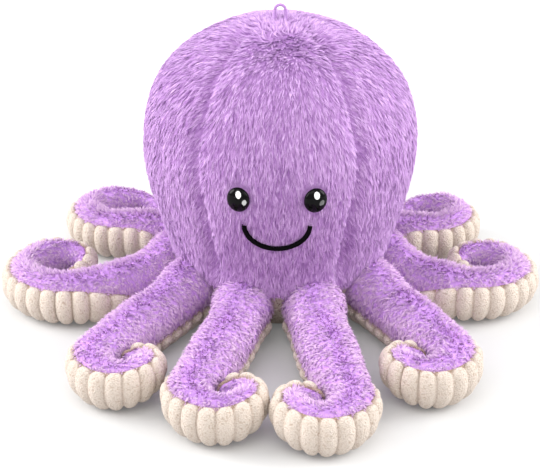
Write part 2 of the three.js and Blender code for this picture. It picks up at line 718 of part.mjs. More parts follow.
// The eye along its own +Z, which looks out of the head: a glossy dome on a rim, and its stem.
function eyeSolid(side) {
  const dome = [[0, 0], [EYE_HALF_WIDTH - EYE_RIM / 2, 0], [EYE_HALF_WIDTH, EYE_RIM / 2]];
  for (let step = 1; step < EYE_DOME_STEPS; step += 1) {
    const angle = radians(90 * step / EYE_DOME_STEPS);
    const rise = (EYE_DOME_RISE - EYE_RIM) * Math.sin(angle);
    dome.push([EYE_HALF_WIDTH * Math.cos(angle), EYE_RIM + rise]);
  }
  dome.push([0, EYE_DOME_RISE]);
  const bead = lathe(dome, EYE_SIDES);
  bead.scale(1, EYE_HALF_HEIGHT / EYE_HALF_WIDTH, 1);
  const length = eyeStemLength() + EYE_RIM;
  const stem = new THREE.CylinderGeometry(STEM_RADIUS, STEM_RADIUS, length, SMALL_SIDES);
  stem.rotateX(radians(90));
  stem.translate(0, 0, (EYE_RIM - eyeStemLength()) / 2 - FIT_GAP);
  const whole = toGeometry(join([bead, stem]));
  whole.translate(0, 0, FIT_GAP);
  return whole.applyMatrix4(eyeFrame(side));
}

function eyeWasher(side) {
  const back = -HEAD_COVER_THICKNESS - WASHER_GAP - WASHER_THICKNESS;
  const front = back + WASHER_THICKNESS;
  const bore = STEM_RADIUS + FIT_GAP;
  const ring = lathe(
    [[bore, back], [WASHER_RADIUS, back], [WASHER_RADIUS, front], [bore, front], [bore, back]], EYE_SIDES);
  return ring.applyMatrix4(eyeFrame(side));
}

// The hole through the cover for the stem, and the room behind it for the washer.
function eyeStemTool(side) {
  const radius = STEM_RADIUS + FIT_GAP;
  const length = 2 * (eyeStemLength() + OVERRUN);
  const bore = new THREE.CylinderGeometry(radius, radius, length, SMALL_SIDES);
  bore.rotateX(radians(90));
  return toSolid(bore.applyMatrix4(eyeFrame(side)));
}

function eyeWasherTool(side) {
  const radius = WASHER_RADIUS + FIT_GAP;
  const depth = eyeStemLength() + FIT_GAP;
  const pocket = new THREE.CylinderGeometry(radius, radius, depth, SMALL_SIDES);
  pocket.rotateX(radians(90));
  pocket.translate(0, 0, -depth / 2);
  return toSolid(pocket.applyMatrix4(eyeFrame(side)));
}

// The smile: a padded satin stitch that lies on the face panel.
function mouth() {
  const rows = [];
  for (let step = 0; step <= MOUTH_STEPS; step += 1) {
    const sweep = radians(180 * step / MOUTH_STEPS);
    const x = -MOUTH_HALF_WIDTH * Math.cos(sweep);
    const z = MOUTH_TOP_Z - MOUTH_DROP * Math.sin(sweep);
    const slope = new THREE.Vector2(MOUTH_HALF_WIDTH * Math.sin(sweep), -MOUTH_DROP * Math.cos(sweep));
    rows.push(mouthSection(x, z, slope.normalize()));
  }
  const outline = MOUTH_SECTION_SHARES.map(([across, up]) => new THREE.Vector2(across, up));
  return loft(rows, [outline, outline]);
}

function mouthSection(x, z, slope) {
  return MOUTH_SECTION_SHARES.map(([across, up]) => {
    const offset = across * MOUTH_THREAD_WIDTH / 2;
    const px = x - slope.y * offset;
    const pz = z + slope.x * offset;
    const angle = THREE.MathUtils.radToDeg(Math.asin(px / headRadius(pz)));
    return headPoint(angle + FACE_TURN, pz, -FIT_GAP - up * MOUTH_THREAD_RISE);
  });
}

// Hanging loop

function loopHingeZ() {
  return HEAD_EQUATOR_Z + HEAD_CROWN_RISE - LOOP_SINK;
}

function loopPath() {
  const legTop = LOOP_RISE - LOOP_HALF_WIDTH;
  const points = [new THREE.Vector3(-LOOP_HALF_WIDTH, 0, 0)];
  for (let step = 0; step <= LOOP_STEPS / 2; step += 1) {
    const angle = radians(180 - 360 * step / LOOP_STEPS);
    points.push(new THREE.Vector3(
      LOOP_HALF_WIDTH * Math.cos(angle), 0, legTop + LOOP_HALF_WIDTH * Math.sin(angle)));
  }
  points.push(new THREE.Vector3(LOOP_HALF_WIDTH, 0, 0));
  return points;
}

function hangingLoop() {
  const points = loopPath();
  const rows = points.map((point, index) => {
    const before = points[Math.max(0, index - 1)];
    const after = points[Math.min(points.length - 1, index + 1)];
    const along = after.clone().sub(before).normalize();
    const out = new THREE.Vector3(-along.z, 0, along.x);
    return cordSection(point, out);
  });
  const outline = cordSection(new THREE.Vector3(), new THREE.Vector3(1, 0, 0))
    .map((point) => new THREE.Vector2(point.x, point.y));
  const arch = loft(rows, [outline, outline]);
  const foot = new THREE.CylinderGeometry(
    LOOP_FOOT_RADIUS, LOOP_FOOT_RADIUS, 2 * LOOP_FOOT_HALF_LENGTH, SMALL_SIDES);
  foot.rotateZ(radians(90));
  const loop = toGeometry(join([arch, foot]));
  return loop.translate(0, 0, loopHingeZ());
}

function cordSection(centre, out) {
  const section = [];
  for (let side = 0; side < LOOP_SIDES; side += 1) {
    const angle = radians(360 * side / LOOP_SIDES);
    section.push(centre.clone()
      .addScaledVector(out, LOOP_CORD_RADIUS * Math.cos(angle))
      .add(new THREE.Vector3(0, LOOP_CORD_RADIUS * Math.sin(angle), 0)));
  }
  return section;
}

// The room in the stuffing in which the loop's foot turns.
function loopTool() {
  const radius = LOOP_FOOT_RADIUS + FIT_GAP;
  const foot = new THREE.CylinderGeometry(
    radius, radius, 2 * (LOOP_FOOT_HALF_LENGTH + FIT_GAP), SMALL_SIDES);
  foot.rotateZ(radians(90));
  foot.translate(0, 0, loopHingeZ());
  const room = new THREE.BoxGeometry(2 * (LOOP_FOOT_HALF_LENGTH + FIT_GAP), 2 * radius, 2 * OVERRUN);
  room.translate(0, 0, loopHingeZ() + OVERRUN);
  return join([foot, room]);
}

// Assembly

function headParts() {
  const plush = finish('headPlush');
  const sockets = TENTACLES.map(socketTool);
  const stems = [-1, 1].map(eyeStemTool);
  const panels = [
    ['head_face_panel', -FRONT_SEAM_ANGLE, FRONT_SEAM_ANGLE, FACE_COLUMN_COUNT, stems],
    ['head_side_panel_right', FRONT_SEAM_ANGLE, SIDE_SEAM_ANGLE, PANEL_COLUMN_COUNT, []],
    ['head_back_panel_right', SIDE_SEAM_ANGLE, BACK_SEAM_ANGLE, PANEL_COLUMN_COUNT, []],
    ['head_back_panel_left', -BACK_SEAM_ANGLE, -SIDE_SEAM_ANGLE, PANEL_COLUMN_COUNT, []],
    ['head_side_panel_left', -SIDE_SEAM_ANGLE, -FRONT_SEAM_ANGLE, PANEL_COLUMN_COUNT, []],
  ];
  const covers = panels.map(([name, from, to, columns, holes]) => (
    named(name, cut(headPanel(from, to, columns), [...sockets, ...holes]), plush)));
  const fillTools = [...stems, ...[-1, 1].map(eyeWasherTool), loopTool()];
  return [
    ...covers,
    named('head_base_panel', cut(basePanel(), sockets), finish('creamKnit')),
    named('head_stuffing', cut(headStuffing(), fillTools), finish('fibre')),
  ];
}

function faceParts() {
  const sides = [['left', -1], ['right', 1]];
  const eyes = sides.map(([name, side]) => (
    named(`eye_${name}`, eyeSolid(side), finish('blackGloss'))));
  const washers = sides.map(([name, side]) => (
    named(`eye_washer_${name}`, eyeWasher(side), finish('whitePlastic'))));
  return [...eyes, ...washers, named('mouth_embroidery', mouth(), finish('blackThread'))];
}

function buildOctopus() {
  const octopus = new THREE.Group();
  octopus.add(...headParts(), ...faceParts());
  octopus.add(named('hanging_loop', hangingLoop(), finish('paleCord')));
  octopus.add(...TENTACLES.flatMap(tentacleParts));
  return octopus;
}

export default buildOctopus();
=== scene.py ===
import itertools
import logging
import math
from dataclasses import dataclass, field
from enum import Enum

import bpy
import numpy as np
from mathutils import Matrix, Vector


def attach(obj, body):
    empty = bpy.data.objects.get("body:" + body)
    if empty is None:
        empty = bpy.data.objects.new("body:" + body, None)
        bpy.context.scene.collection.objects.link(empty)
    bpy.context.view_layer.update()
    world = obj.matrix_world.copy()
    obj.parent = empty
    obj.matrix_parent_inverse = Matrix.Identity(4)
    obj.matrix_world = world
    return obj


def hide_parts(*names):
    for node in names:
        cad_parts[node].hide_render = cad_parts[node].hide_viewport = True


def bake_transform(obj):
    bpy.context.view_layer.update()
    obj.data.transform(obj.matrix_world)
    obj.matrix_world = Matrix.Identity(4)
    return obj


# A plush octopus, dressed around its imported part: a sewn head of five furry panels with glossy eyes,
# a stitched smile and a hanging loop, and eight curled tentacles with cream ribbed undersides.
# The classes hold lengths in millimetres, as the part's drawing does. Angles are in degrees.

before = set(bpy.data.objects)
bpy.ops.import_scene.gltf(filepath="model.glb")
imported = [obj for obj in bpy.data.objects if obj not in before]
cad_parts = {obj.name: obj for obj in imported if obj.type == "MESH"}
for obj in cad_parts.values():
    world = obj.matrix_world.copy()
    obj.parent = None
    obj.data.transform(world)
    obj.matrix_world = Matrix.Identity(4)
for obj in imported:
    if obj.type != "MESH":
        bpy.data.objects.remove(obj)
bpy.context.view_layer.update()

Array = np.ndarray
Pair = tuple[float, float]
Triple = tuple[float, float, float]
MM = 0.001
SQUARE_CM = 100
OFF_UPRIGHT = 1e-3
UP = np.array([0.0, 0.0, 1.0])
log = logging.getLogger("octopus")


class Side(Enum):
    """The side of the octopus, as a viewer who faces it names them."""

    LEFT = -1
    RIGHT = 1


class Lay(Enum):
    """How a panel's pile lies at its seams."""

    OVER = 1
    AWAY = -1


class Bend(Enum):
    """How a shaft's bend is shared out along it: places from 0 to 1, and the share made by there."""

    EVEN = ((0.0, 0.0), (1.0, 1.0))
    LATE = ((0.0, 0.0), (0.46, 0.52), (0.78, 0.58), (1.0, 1.0))

    def share(self, place: float) -> float:
        """The share of the bend that is made by a place."""
        return float(np.interp(place, *zip(*self.value)))


class Curl(Enum):
    """Which way a tentacle curls."""

    FORWARD = -1
    BACKWARD = 1


# Arithmetic


def unit(vectors: Array) -> Array:
    """Makes each vector along the last axis one long."""
    return vectors / np.maximum(np.linalg.norm(vectors, axis=-1, keepdims=True), 1e-12)


def smooth(values: Array, low: float, high: float) -> Array:
    """Eases from 0 where a value is low to 1 where it is high."""
    share = np.clip((values - low) / (high - low), 0, 1)
    return share * share * (3 - 2 * share)


def between(low: Array, high: Array, share: Array) -> Array:
    """The point at a share of the way from low to high."""
    return low + (high - low) * share


def lengths_along(line: Array) -> Array:
    """How far along a line each of its points is."""
    return np.concatenate([[0], np.cumsum(np.linalg.norm(np.diff(line, axis=0), axis=-1))])


def evened(line: Array, count: int, end: float | None = None) -> Array:
    """Spaces points evenly along a line.

    Args:
        line: Points, one row each.
        count: How many points to make.
        end: How far along the line the last one is, or None for its end.

    Returns:
        The new points.
    """
    length = lengths_along(line)
    at = np.linspace(0, length[-1] if end is None else end, count)
    return np.stack([np.interp(at, length, values) for values in line.T], -1)


@dataclass(frozen=True)
class SoftNoise:
    """Smooth random values in space, the same on each run.

    Attributes:
        size: How far apart the values are, in mm.
        cells: How many values there are each way before they repeat.
    """

    seed: int
    size: float
    height: float = 1.0
    cells: int = 24

    def at(self, points: Array) -> Array:
        """Reads the noise.

        Args:
            points: Where to read it, in mm.

        Returns:
            A value for each point, about 0.
        """
        table = np.random.default_rng(self.seed).random((self.cells,) * 3) * 2 - 1
        places = points / self.size
        low = np.floor(places).astype(int)
        share = places - low
        share = share * share * (3 - 2 * share)
        total = np.zeros(points.shape[:-1])
        for corner in itertools.product((0, 1), repeat=3):
            place = (low + corner) % self.cells
            weight = np.prod(np.where(corner, share, 1 - share), axis=-1)
            total += weight * table[place[..., 0], place[..., 1], place[..., 2]]
        return total * self.height


# Meshes


@dataclass
class Draft:
    """A mesh on its way into the scene, in mm.

    Attributes:
        normals: The way each point faces in shading, or None for the mesh's own.
        marks: Named values for each point, which finishes read.
    """

    points: Array
    quads: Array = field(default_factory=lambda: np.zeros((0, 4), int))
    triangles: Array = field(default_factory=lambda: np.zeros((0, 3), int))
    normals: Array | None = None
    marks: dict[str, Array] = field(default_factory=dict)

    def volume(self) -> float:
        """Adds up the volume inside.

        Returns:
            The volume, below zero where the faces point in.
        """
        halves = np.concatenate([self.quads[:, [0, 1, 2]], self.quads[:, [0, 2, 3]], self.triangles])
        corners = self.points[halves]
        crosses = np.cross(corners[:, 1], corners[:, 2])
        return float(np.sum(corners[:, 0] * crosses)) / 6

    def outward(self) -> "Draft":
        """Turns the faces to point out.

        Returns:
            This draft.
        """
        if self.volume() < 0:
            self.quads = self.quads[:, ::-1]
            self.triangles = self.triangles[:, ::-1]
        return self

    def build(self, name: str, material: bpy.types.Material) -> bpy.types.Object:
        """Puts the mesh into the scene.

        Args:
            name: The piece's name.
            material: What it wears.

        Returns:
            The new piece.
        """
        mesh = bpy.data.meshes.new(name)
        mesh.vertices.add(len(self.points))
        mesh.vertices.foreach_set("co", (self.points * MM).astype(np.float32).ravel())
        corners = np.concatenate([self.quads.ravel(), self.triangles.ravel()])
        sizes = np.repeat([4, 3], [len(self.quads), len(self.triangles)])
        mesh.loops.add(len(corners))
        mesh.loops.foreach_set("vertex_index", corners.astype(np.int32))
        mesh.polygons.add(len(sizes))
        starts = np.concatenate([[0], np.cumsum(sizes)[:-1]])
        mesh.polygons.foreach_set("loop_start", starts.astype(np.int32))
        mesh.polygons.foreach_set("use_smooth", np.ones(len(sizes), bool))
        mesh.update(calc_edges=True)
        for mark, values in self.marks.items():
            layer = mesh.attributes.new(mark, "FLOAT", "POINT")
            layer.data.foreach_set("value", values.astype(np.float32))
        if self.normals is not None:
            mesh.normals_split_custom_set_from_vertices(self.normals.astype(np.float32))
        mesh.materials.append(material)
        piece = bpy.data.objects.new(name, mesh)
        bpy.context.scene.collection.objects.link(piece)
        return piece


def joined(drafts: list[Draft]) -> Draft:
    """Puts several drafts into one.

    Args:
        drafts: Closed or open drafts with the same marks and no normals.

    Returns:
        One draft of them all.
    """
    starts = np.cumsum([0] + [len(draft.points) for draft in drafts])
    return Draft(
        points=np.concatenate([draft.points for draft in drafts]),
        quads=np.concatenate([draft.quads + start for draft, start in zip(drafts, starts)]),
        triangles=np.concatenate([draft.triangles + start for draft, start in zip(drafts, starts)]),
        marks={
            mark: np.concatenate([draft.marks[mark] for draft in drafts]) for mark in drafts[0].marks
        },
    )


def grid_quads(rows: int, columns: int, wrap: bool = False, close: bool = False) -> Array:
    """The faces of a grid of points.

    Args:
        rows: How many rows it has.
        columns: How many points a row has.
        wrap: True where the last column meets the first.
        close: True where the last row meets the first.

    Returns:
        Faces of four points.
    """
    index = np.arange(rows * columns).reshape(rows, columns)
    if close:
        index = np.concatenate([index, index[:1]])
    if wrap:
        index = np.concatenate([index, index[:, :1]], axis=1)
    return np.stack([index[:-1, :-1], index[:-1, 1:], index[1:, 1:], index[1:, :-1]], -1).reshape(-1, 4)


def tube(rings: Array) -> Draft:
    """Closes a row of rings into a solid.

    Args:
        rings: Rings, points of a ring, 3.

    Returns:
        A closed draft with a fan at each end.
    """
    count, sides = rings.shape[:2]
    ends = np.stack([rings[0].mean(0), rings[-1].mean(0)])
    points = np.concatenate([rings.reshape(-1, 3), ends])
    low, high = np.arange(sides), np.arange(sides) + (count - 1) * sides
    first = np.stack([np.roll(low, -1), low, np.full(sides, count * sides)], -1)
    last = np.stack([high, np.roll(high, -1), np.full(sides, count * sides + 1)], -1)
    return Draft(points, grid_quads(count, sides, wrap=True), np.concatenate([first, last])).outward()


def sweep_tube(path: Array, radii: Array, sides: int) -> Draft:
    """Sweeps a ring along a path.

    Args:
        path: Points, in mm.
        radii: The ring's radius at each point.
        sides: How many points the ring has.

    Returns:
        A closed draft.
    """
    along = unit(np.gradient(path, axis=0))
    across = unit(np.cross(along[0], UP + OFF_UPRIGHT))
    turn = np.linspace(0, 2 * np.pi, sides, endpoint=False)[:, None]
    rings = []
    for place, way, radius in zip(path, along, radii):
        across = unit(across - way * (across @ way))
        rings.append(place + radius * (np.cos(turn) * across + np.sin(turn) * np.cross(way, across)))
    return tube(np.stack(rings))


def shell(outer: Array, inner: Array, marks: dict[str, Array] | None = None) -> Draft:
    """Closes two skins, one inside the other, into a padded piece.

    Args:
        outer: Rows, columns, 3.
        inner: The same grid of points on the inside.
        marks: Named values of the outer grid, which the inner one repeats.

    Returns:
        A closed draft.
    """
    rows, columns = outer.shape[:2]
    half = rows * columns
    index = np.arange(half).reshape(rows, columns)
    rim = np.concatenate([index[0, :-1], index[:-1, -1], index[-1, :0:-1], index[:0:-1, 0]])
    after = np.roll(rim, -1)
    face = grid_quads(rows, columns)
    sides = np.stack([after, rim, rim + half, after + half], -1)
    return Draft(
        points=np.concatenate([outer.reshape(-1, 3), inner.reshape(-1, 3)]),
        quads=np.concatenate([face, face[:, ::-1] + half, sides]),
        marks={mark: np.tile(values.ravel(), 2) for mark, values in (marks or {}).items()},
    ).outward()


def lathe(outline: list[Pair], sides: int) -> Array:
    """Turns an outline about the upright axis.

    Args:
        outline: Radius and height of each point.
        sides: How many points a ring has.

    Returns:
        Rings, points of a ring, 3.
    """
    turns = np.linspace(0, 2 * np.pi, sides, endpoint=False)
    spokes = np.stack([np.cos(turns), np.sin(turns), np.zeros(sides)], -1)
    return np.stack([spokes * radius + UP * height for radius, height in outline])


# Finishes


@dataclass(frozen=True)
class Colour:
    """A colour as a screen shows it, 0 to 255 each."""

    red: int
    green: int
    blue: int

    def linear(self) -> tuple[float, float, float, float]:
        """The colour as a shader takes it.

        Returns:
            Red, green, blue and alpha.
        """
        parts = [value / 255 for value in (self.red, self.green, self.blue)]
        red, green, blue = [
            part / 12.92 if part <= 0.04045 else ((part + 0.055) / 1.055) ** 2.4 for part in parts
        ]
        return (red, green, blue, 1.0)


Value = bpy.types.NodeSocket | Colour | float | tuple[float, ...]
WHITE = Colour(255, 255, 255)


class NodeSheet:
    """A node tree under construction."""

    def __init__(self, tree: bpy.types.NodeTree) -> None:
        """Starts with no nodes."""
        self.tree = tree
        tree.nodes.clear()

    def feed(self, target: bpy.types.NodeSocket, value: Value) -> None:
        """Joins a socket to another, or gives it a plain value.

        Args:
            target: The socket.
            value: Another, or the value.
        """
        if isinstance(value, bpy.types.NodeSocket):
            self.tree.links.new(value, target)
        else:
            target.default_value = value.linear() if isinstance(value, Colour) else value

    def node(self, kind: str, modes: dict[str, str] | None = None, **values: Value) -> bpy.types.Node:
        """Adds a node.

        Args:
            kind: What Blender calls it.
            modes: The choices that it takes.
            values: Socket names, with _ for a space, and what they take.

        Returns:
            The new node.
        """
        made = self.tree.nodes.new(kind)
        for name, choice in (modes or {}).items():
            setattr(made, name, choice)
        for name, value in values.items():
            self.feed(made.inputs[name.replace("_", " ")], value)
        return made

    def sum(self, kind: str, first: Value, second: Value) -> bpy.types.NodeSocket:
        """Adds, multiplies or otherwise joins two values.

        Args:
            kind: What Blender's Math node calls it.
            first: A value.
            second: Another.

        Returns:
            The result.
        """
        node = self.node("ShaderNodeMath", {"operation": kind})
        self.feed(node.inputs[0], first)
        self.feed(node.inputs[1], second)
        return node.outputs[0]


class FinishSheet(NodeSheet):
    """A material under construction, with its shader."""

    def __init__(self, name: str) -> None:
        """Starts a material.

        Args:
            name: The material's name.
        """
        self.material = bpy.data.materials.new(name)
        self.material.use_nodes = True
        super().__init__(self.material.node_tree)
        self.shader = self.node("ShaderNodeBsdfPrincipled")
        self.node("ShaderNodeOutputMaterial", Surface=self.shader.outputs["BSDF"])

    def shade(self, **values: Value) -> None:
        """Sets the shader's own sockets, named with _ for a space."""
        for name, value in values.items():
            self.feed(self.shader.inputs[name.replace("_", " ")], value)

    def place(self) -> bpy.types.NodeSocket:
        """The place on the object, in metres."""
        return self.node("ShaderNodeTexCoord").outputs["Object"]

    def mark(self, name: str) -> bpy.types.NodeSocket:
        """A named value that the mesh carries."""
        return self.node("ShaderNodeAttribute", {"attribute_name": name}).outputs["Fac"]

    def noise(self, size: float, detail: float = 2.0, roughness: float = 0.5) -> bpy.types.NodeSocket:
        """Noise from 0 to 1.

        Args:
            size: How far apart its lumps are, in mm.
            detail: How many finer layers it has.
            roughness: How strong they are.

        Returns:
            The noise's value.
        """
        scale = 1 / (size * MM)
        node = self.node(
            "ShaderNodeTexNoise", Scale=scale, Detail=detail, Roughness=roughness, Vector=self.place()
        )
        return node.outputs["Fac"]

    def loops(self, size: float) -> bpy.types.NodeSocket:
        """How far the nearest loop of yarn is, up to about 1, where they are a size in mm apart."""
        node = self.node("ShaderNodeTexVoronoi", Scale=1 / (size * MM), Vector=self.place())
        return node.outputs["Distance"]

    def ramp(self, value: Value, *stops: tuple[float, Colour]) -> bpy.types.NodeSocket:
        """Turns a value into a colour.

        Args:
            value: A value from 0 to 1.
            stops: Places from 0 to 1 with their colours, in order.

        Returns:
            The colour.
        """
        node = self.node("ShaderNodeValToRGB", Fac=value)
        band = node.color_ramp.elements
        while len(band) < len(stops):
            band.new(0.5)
        for element, (place, colour) in zip(band, stops):
            element.position = place
            element.color = colour.linear()
        return node.outputs["Color"]

    def darkened(self, colour: Value, shade: Value) -> bpy.types.NodeSocket:
        """A colour times another."""
        modes = {"data_type": "RGBA", "blend_type": "MULTIPLY"}
        return self.node("ShaderNodeMix", modes, Factor=1.0, A=colour, B=shade).outputs["Result"]

    def bump(self, height: Value, depth: float, strength: float = 1.0) -> None:
        """Roughens the surface by a height from 0 to 1, which stands for a depth in mm."""
        node = self.node("ShaderNodeBump", Strength=strength, Distance=depth * MM, Height=height)
        self.shade(Normal=node.outputs["Normal"])


class Finish:
    """What a piece wears. Each finish is made once and shared."""

    name: str
    _made: dict[str, bpy.types.Material] = {}

    def material(self) -> bpy.types.Material:
        """Makes the finish's material at the first call.

        Returns:
            The material.
        """
        if self.name not in Finish._made:
            sheet = FinishSheet(self.name)
            self.dress(sheet)
            Finish._made[self.name] = sheet.material
        return Finish._made[self.name]

    def dress(self, sheet: FinishSheet) -> None:
        """Adds the finish's nodes."""
        raise NotImplementedError


@dataclass(frozen=True)
class PileFinish(Finish):
    """The fibres of the plush: each lock has a tone of its own, and painted shade darkens each fibre
    towards its root.
    """

    name: str
    deep: Colour
    middle: Colour
    bright: Colour
    # root is painted shade deep in the pile. It fades out by root_reach along a fibre.
    root: Colour
    sheen: Colour
    sheen_weight: float = 0.35
    root_reach: float = 0.62

    def dress(self, sheet: FinishSheet) -> None:
        """Adds the finish's nodes.

        Args:
            sheet: The material.
        """
        tone = sheet.ramp(sheet.mark("tone"), (0.0, self.deep), (0.5, self.middle), (1.0, self.bright))
        # Painted shade: each fibre is darkened by the root colour at its root.
        depth = sheet.ramp(sheet.mark("along"), (0.0, self.root), (self.root_reach, WHITE))
        sheet.shade(
            Base_Color=sheet.darkened(tone, depth),
            Roughness=0.85,
            Specular_IOR_Level=0.08,
            Sheen_Weight=self.sheen_weight,
            Sheen_Roughness=0.5,
            Sheen_Tint=self.sheen,
        )


@dataclass(frozen=True)
class BackingFinish(Finish):
    """The plush's cloth, under the pile."""

    name: str
    dark: Colour
    light: Colour
    mottle: float = 2.4
    nap: float = 1.1
    nap_depth: float = 0.5

    def dress(self, sheet: FinishSheet) -> None:
        """Adds the finish's nodes.

        Args:
            sheet: The material.
        """
        colour = sheet.ramp(sheet.noise(self.mottle, 3), (0.3, self.dark), (0.7, self.light))
        sheet.shade(Base_Color=colour, Roughness=0.95, Specular_IOR_Level=0.08)
        sheet.bump(sheet.noise(self.nap), self.nap_depth, 0.8)


@dataclass(frozen=True)
class KnitFinish(Finish):
    """Cream terry knit: small loops of yarn, with painted shade in the folds between its ribs."""

    name: str
    # fold is painted shade in the folds between the ribs. fold_shade_reach is how far up a rib it fades
    # out.
    fold_shade: Colour
    speck: Colour
    dark: Colour
    light: Colour
    loop: float = 1.05
    patch: float = 3.2
    nap: float = 0.9
    nap_depth: float = 0.42
    fold_shade_reach: float = 0.55
    sheen: Colour = Colour(250, 244, 236)

    def dress(self, sheet: FinishSheet) -> None:
        """Adds the finish's nodes.

        Args:
            sheet: The material.
        """
        loops = sheet.loops(self.loop)
        patches = sheet.sum("MULTIPLY", sheet.noise(self.patch, 3, 0.6), 0.4)
        speckle = sheet.sum("MULTIPLY", sheet.sum("ADD", loops, patches), 0.72)
        yarn = sheet.ramp(speckle, (0.34, self.light), (0.66, self.dark), (0.78, self.speck))
        # Painted shade: the fold colour darkens the knit where the crest mark is low, in the folds.
        fold_shade = sheet.ramp(sheet.mark("crest"), (0.0, self.fold_shade), (self.fold_shade_reach, WHITE))
        height = sheet.sum("SUBTRACT", sheet.noise(self.nap), sheet.sum("MULTIPLY", loops, 1.3))
        sheet.bump(height, self.nap_depth)
        sheet.shade(
            Base_Color=sheet.darkened(yarn, fold_shade),
            Roughness=0.95,
            Specular_IOR_Level=0.08,
            Sheen_Weight=0.25,
            Sheen_Roughness=0.5,
            Sheen_Tint=self.sheen,
        )


@dataclass(frozen=True)
class ThreadFinish(Finish):
    """Twisted or satin thread."""

    name: str
    dark: Colour
    light: Colour
    roughness: float
    shine: float
    strand: float = 0.7
    twist: float = 0.35
    twist_depth: float = 0.15

    def dress(self, sheet: FinishSheet) -> None:
        """Adds the finish's nodes.

        Args:
            sheet: The material.
        """
        colour = sheet.ramp(sheet.noise(self.strand), (0.3, self.dark), (0.75, self.light))
        sheet.shade(Base_Color=colour, Roughness=self.roughness, Specular_IOR_Level=self.shine)
        sheet.bump(sheet.noise(self.twist, 1), self.twist_depth, 0.7)


@dataclass(frozen=True)
class FibreFinish(Finish):
    """Loose polyester fibre."""

    name: str
    dark: Colour
    light: Colour
    tuft: float = 6.0
    strand: float = 1.6
    strand_depth: float = 1.2

    def dress(self, sheet: FinishSheet) -> None:
        """Adds the finish's nodes.

        Args:
            sheet: The material.
        """
        colour = sheet.ramp(sheet.noise(self.tuft, 5, 0.65), (0.3, self.dark), (0.7, self.light))
        sheet.shade(Base_Color=colour, Roughness=1.0, Specular_IOR_Level=0.1, Sheen_Weight=0.3)
        sheet.bump(sheet.noise(self.strand, 5, 0.7), self.strand_depth, 0.9)


@dataclass(frozen=True)
class MouldedFinish(Finish):
    """Moulded plastic: the eyes' black gloss or the washers' dull white."""

    name: str
    dark: Colour
    light: Colour
    roughness: float
    shine: float
    grain_depth: float
    cloud: float = 3.0
    grain: float = 0.8

    def dress(self, sheet: FinishSheet) -> None:
        """Adds the finish's nodes.

        Args:
            sheet: The material.
        """
        colour = sheet.ramp(sheet.noise(self.cloud, 3), (0.35, self.dark), (0.65, self.light))
        sheet.shade(Base_Color=colour, Roughness=self.roughness, Specular_IOR_Level=self.shine)
        sheet.bump(sheet.noise(self.grain), self.grain_depth, 0.5)


HEAD_PILE = PileFinish(
    "head_pile",
    deep=Colour(158, 110, 178),
    middle=Colour(203, 159, 217),
    bright=Colour(229, 192, 240),
    # root: painted shade at the fibres' roots.
    root=Colour(198, 176, 208),
    sheen=Colour(236, 208, 246),
    sheen_weight=0.85,
)
# The tentacles' pile is the head's lilac made lighter. This is painted light for the light the tentacles,
# low and partly under the head, get less of, and for the deeper self-shadow of their steeper fibres.
TENTACLE_PILE = PileFinish(
    "tentacle_pile",
    deep=Colour(188, 140, 206),
    middle=Colour(224, 188, 227),
    bright=Colour(237, 210, 235),
    # root: painted shade at the fibres' roots.
    root=Colour(208, 188, 216),
    sheen=Colour(236, 208, 243),
)
HEAD_BACKING = BackingFinish("head_backing", Colour(166, 122, 184), Colour(190, 146, 206))
# The tentacles' backing is likewise a lighter copy of the head's. This painted light thins the dark gaps
# between their fibres.
TENTACLE_BACKING = BackingFinish("tentacle_backing", Colour(190, 140, 216), Colour(214, 168, 234))
RIB_KNIT = KnitFinish(
    "rib_knit",
    fold_shade=Colour(208, 192, 182),
    speck=Colour(192, 172, 156),
    dark=Colour(210, 195, 182),
    light=Colour(223, 210, 199),
)
# The base's knit is the ribs' cream yarn made darker. This is painted shade for the shade the base lies
# in, under the head and between the tentacles.
BASE_KNIT = KnitFinish(
    "base_knit",
    fold_shade=Colour(178, 156, 142),
    speck=Colour(144, 116, 100),
    dark=Colour(194, 176, 161),
    light=Colour(218, 205, 192),
)
FIBRE = FibreFinish("fibre", Colour(224, 220, 212), Colour(248, 246, 240))
MOUTH_THREAD = ThreadFinish("mouth_thread", Colour(5, 4, 6), Colour(14, 12, 15), 0.8, 0.06)
LOOP_THREAD = ThreadFinish("loop_thread", Colour(186, 142, 206), Colour(212, 172, 228), 0.8, 0.15)
EYE_GLOSS = MouldedFinish("eye_gloss", Colour(4, 4, 5), Colour(9, 8, 10), 0.06, 0.12, 0.002)
WASHER_PLASTIC = MouldedFinish(
    "washer_plastic", Colour(222, 220, 214), Colour(232, 230, 224), 0.5, 0.4, 0.02
)


# Plush


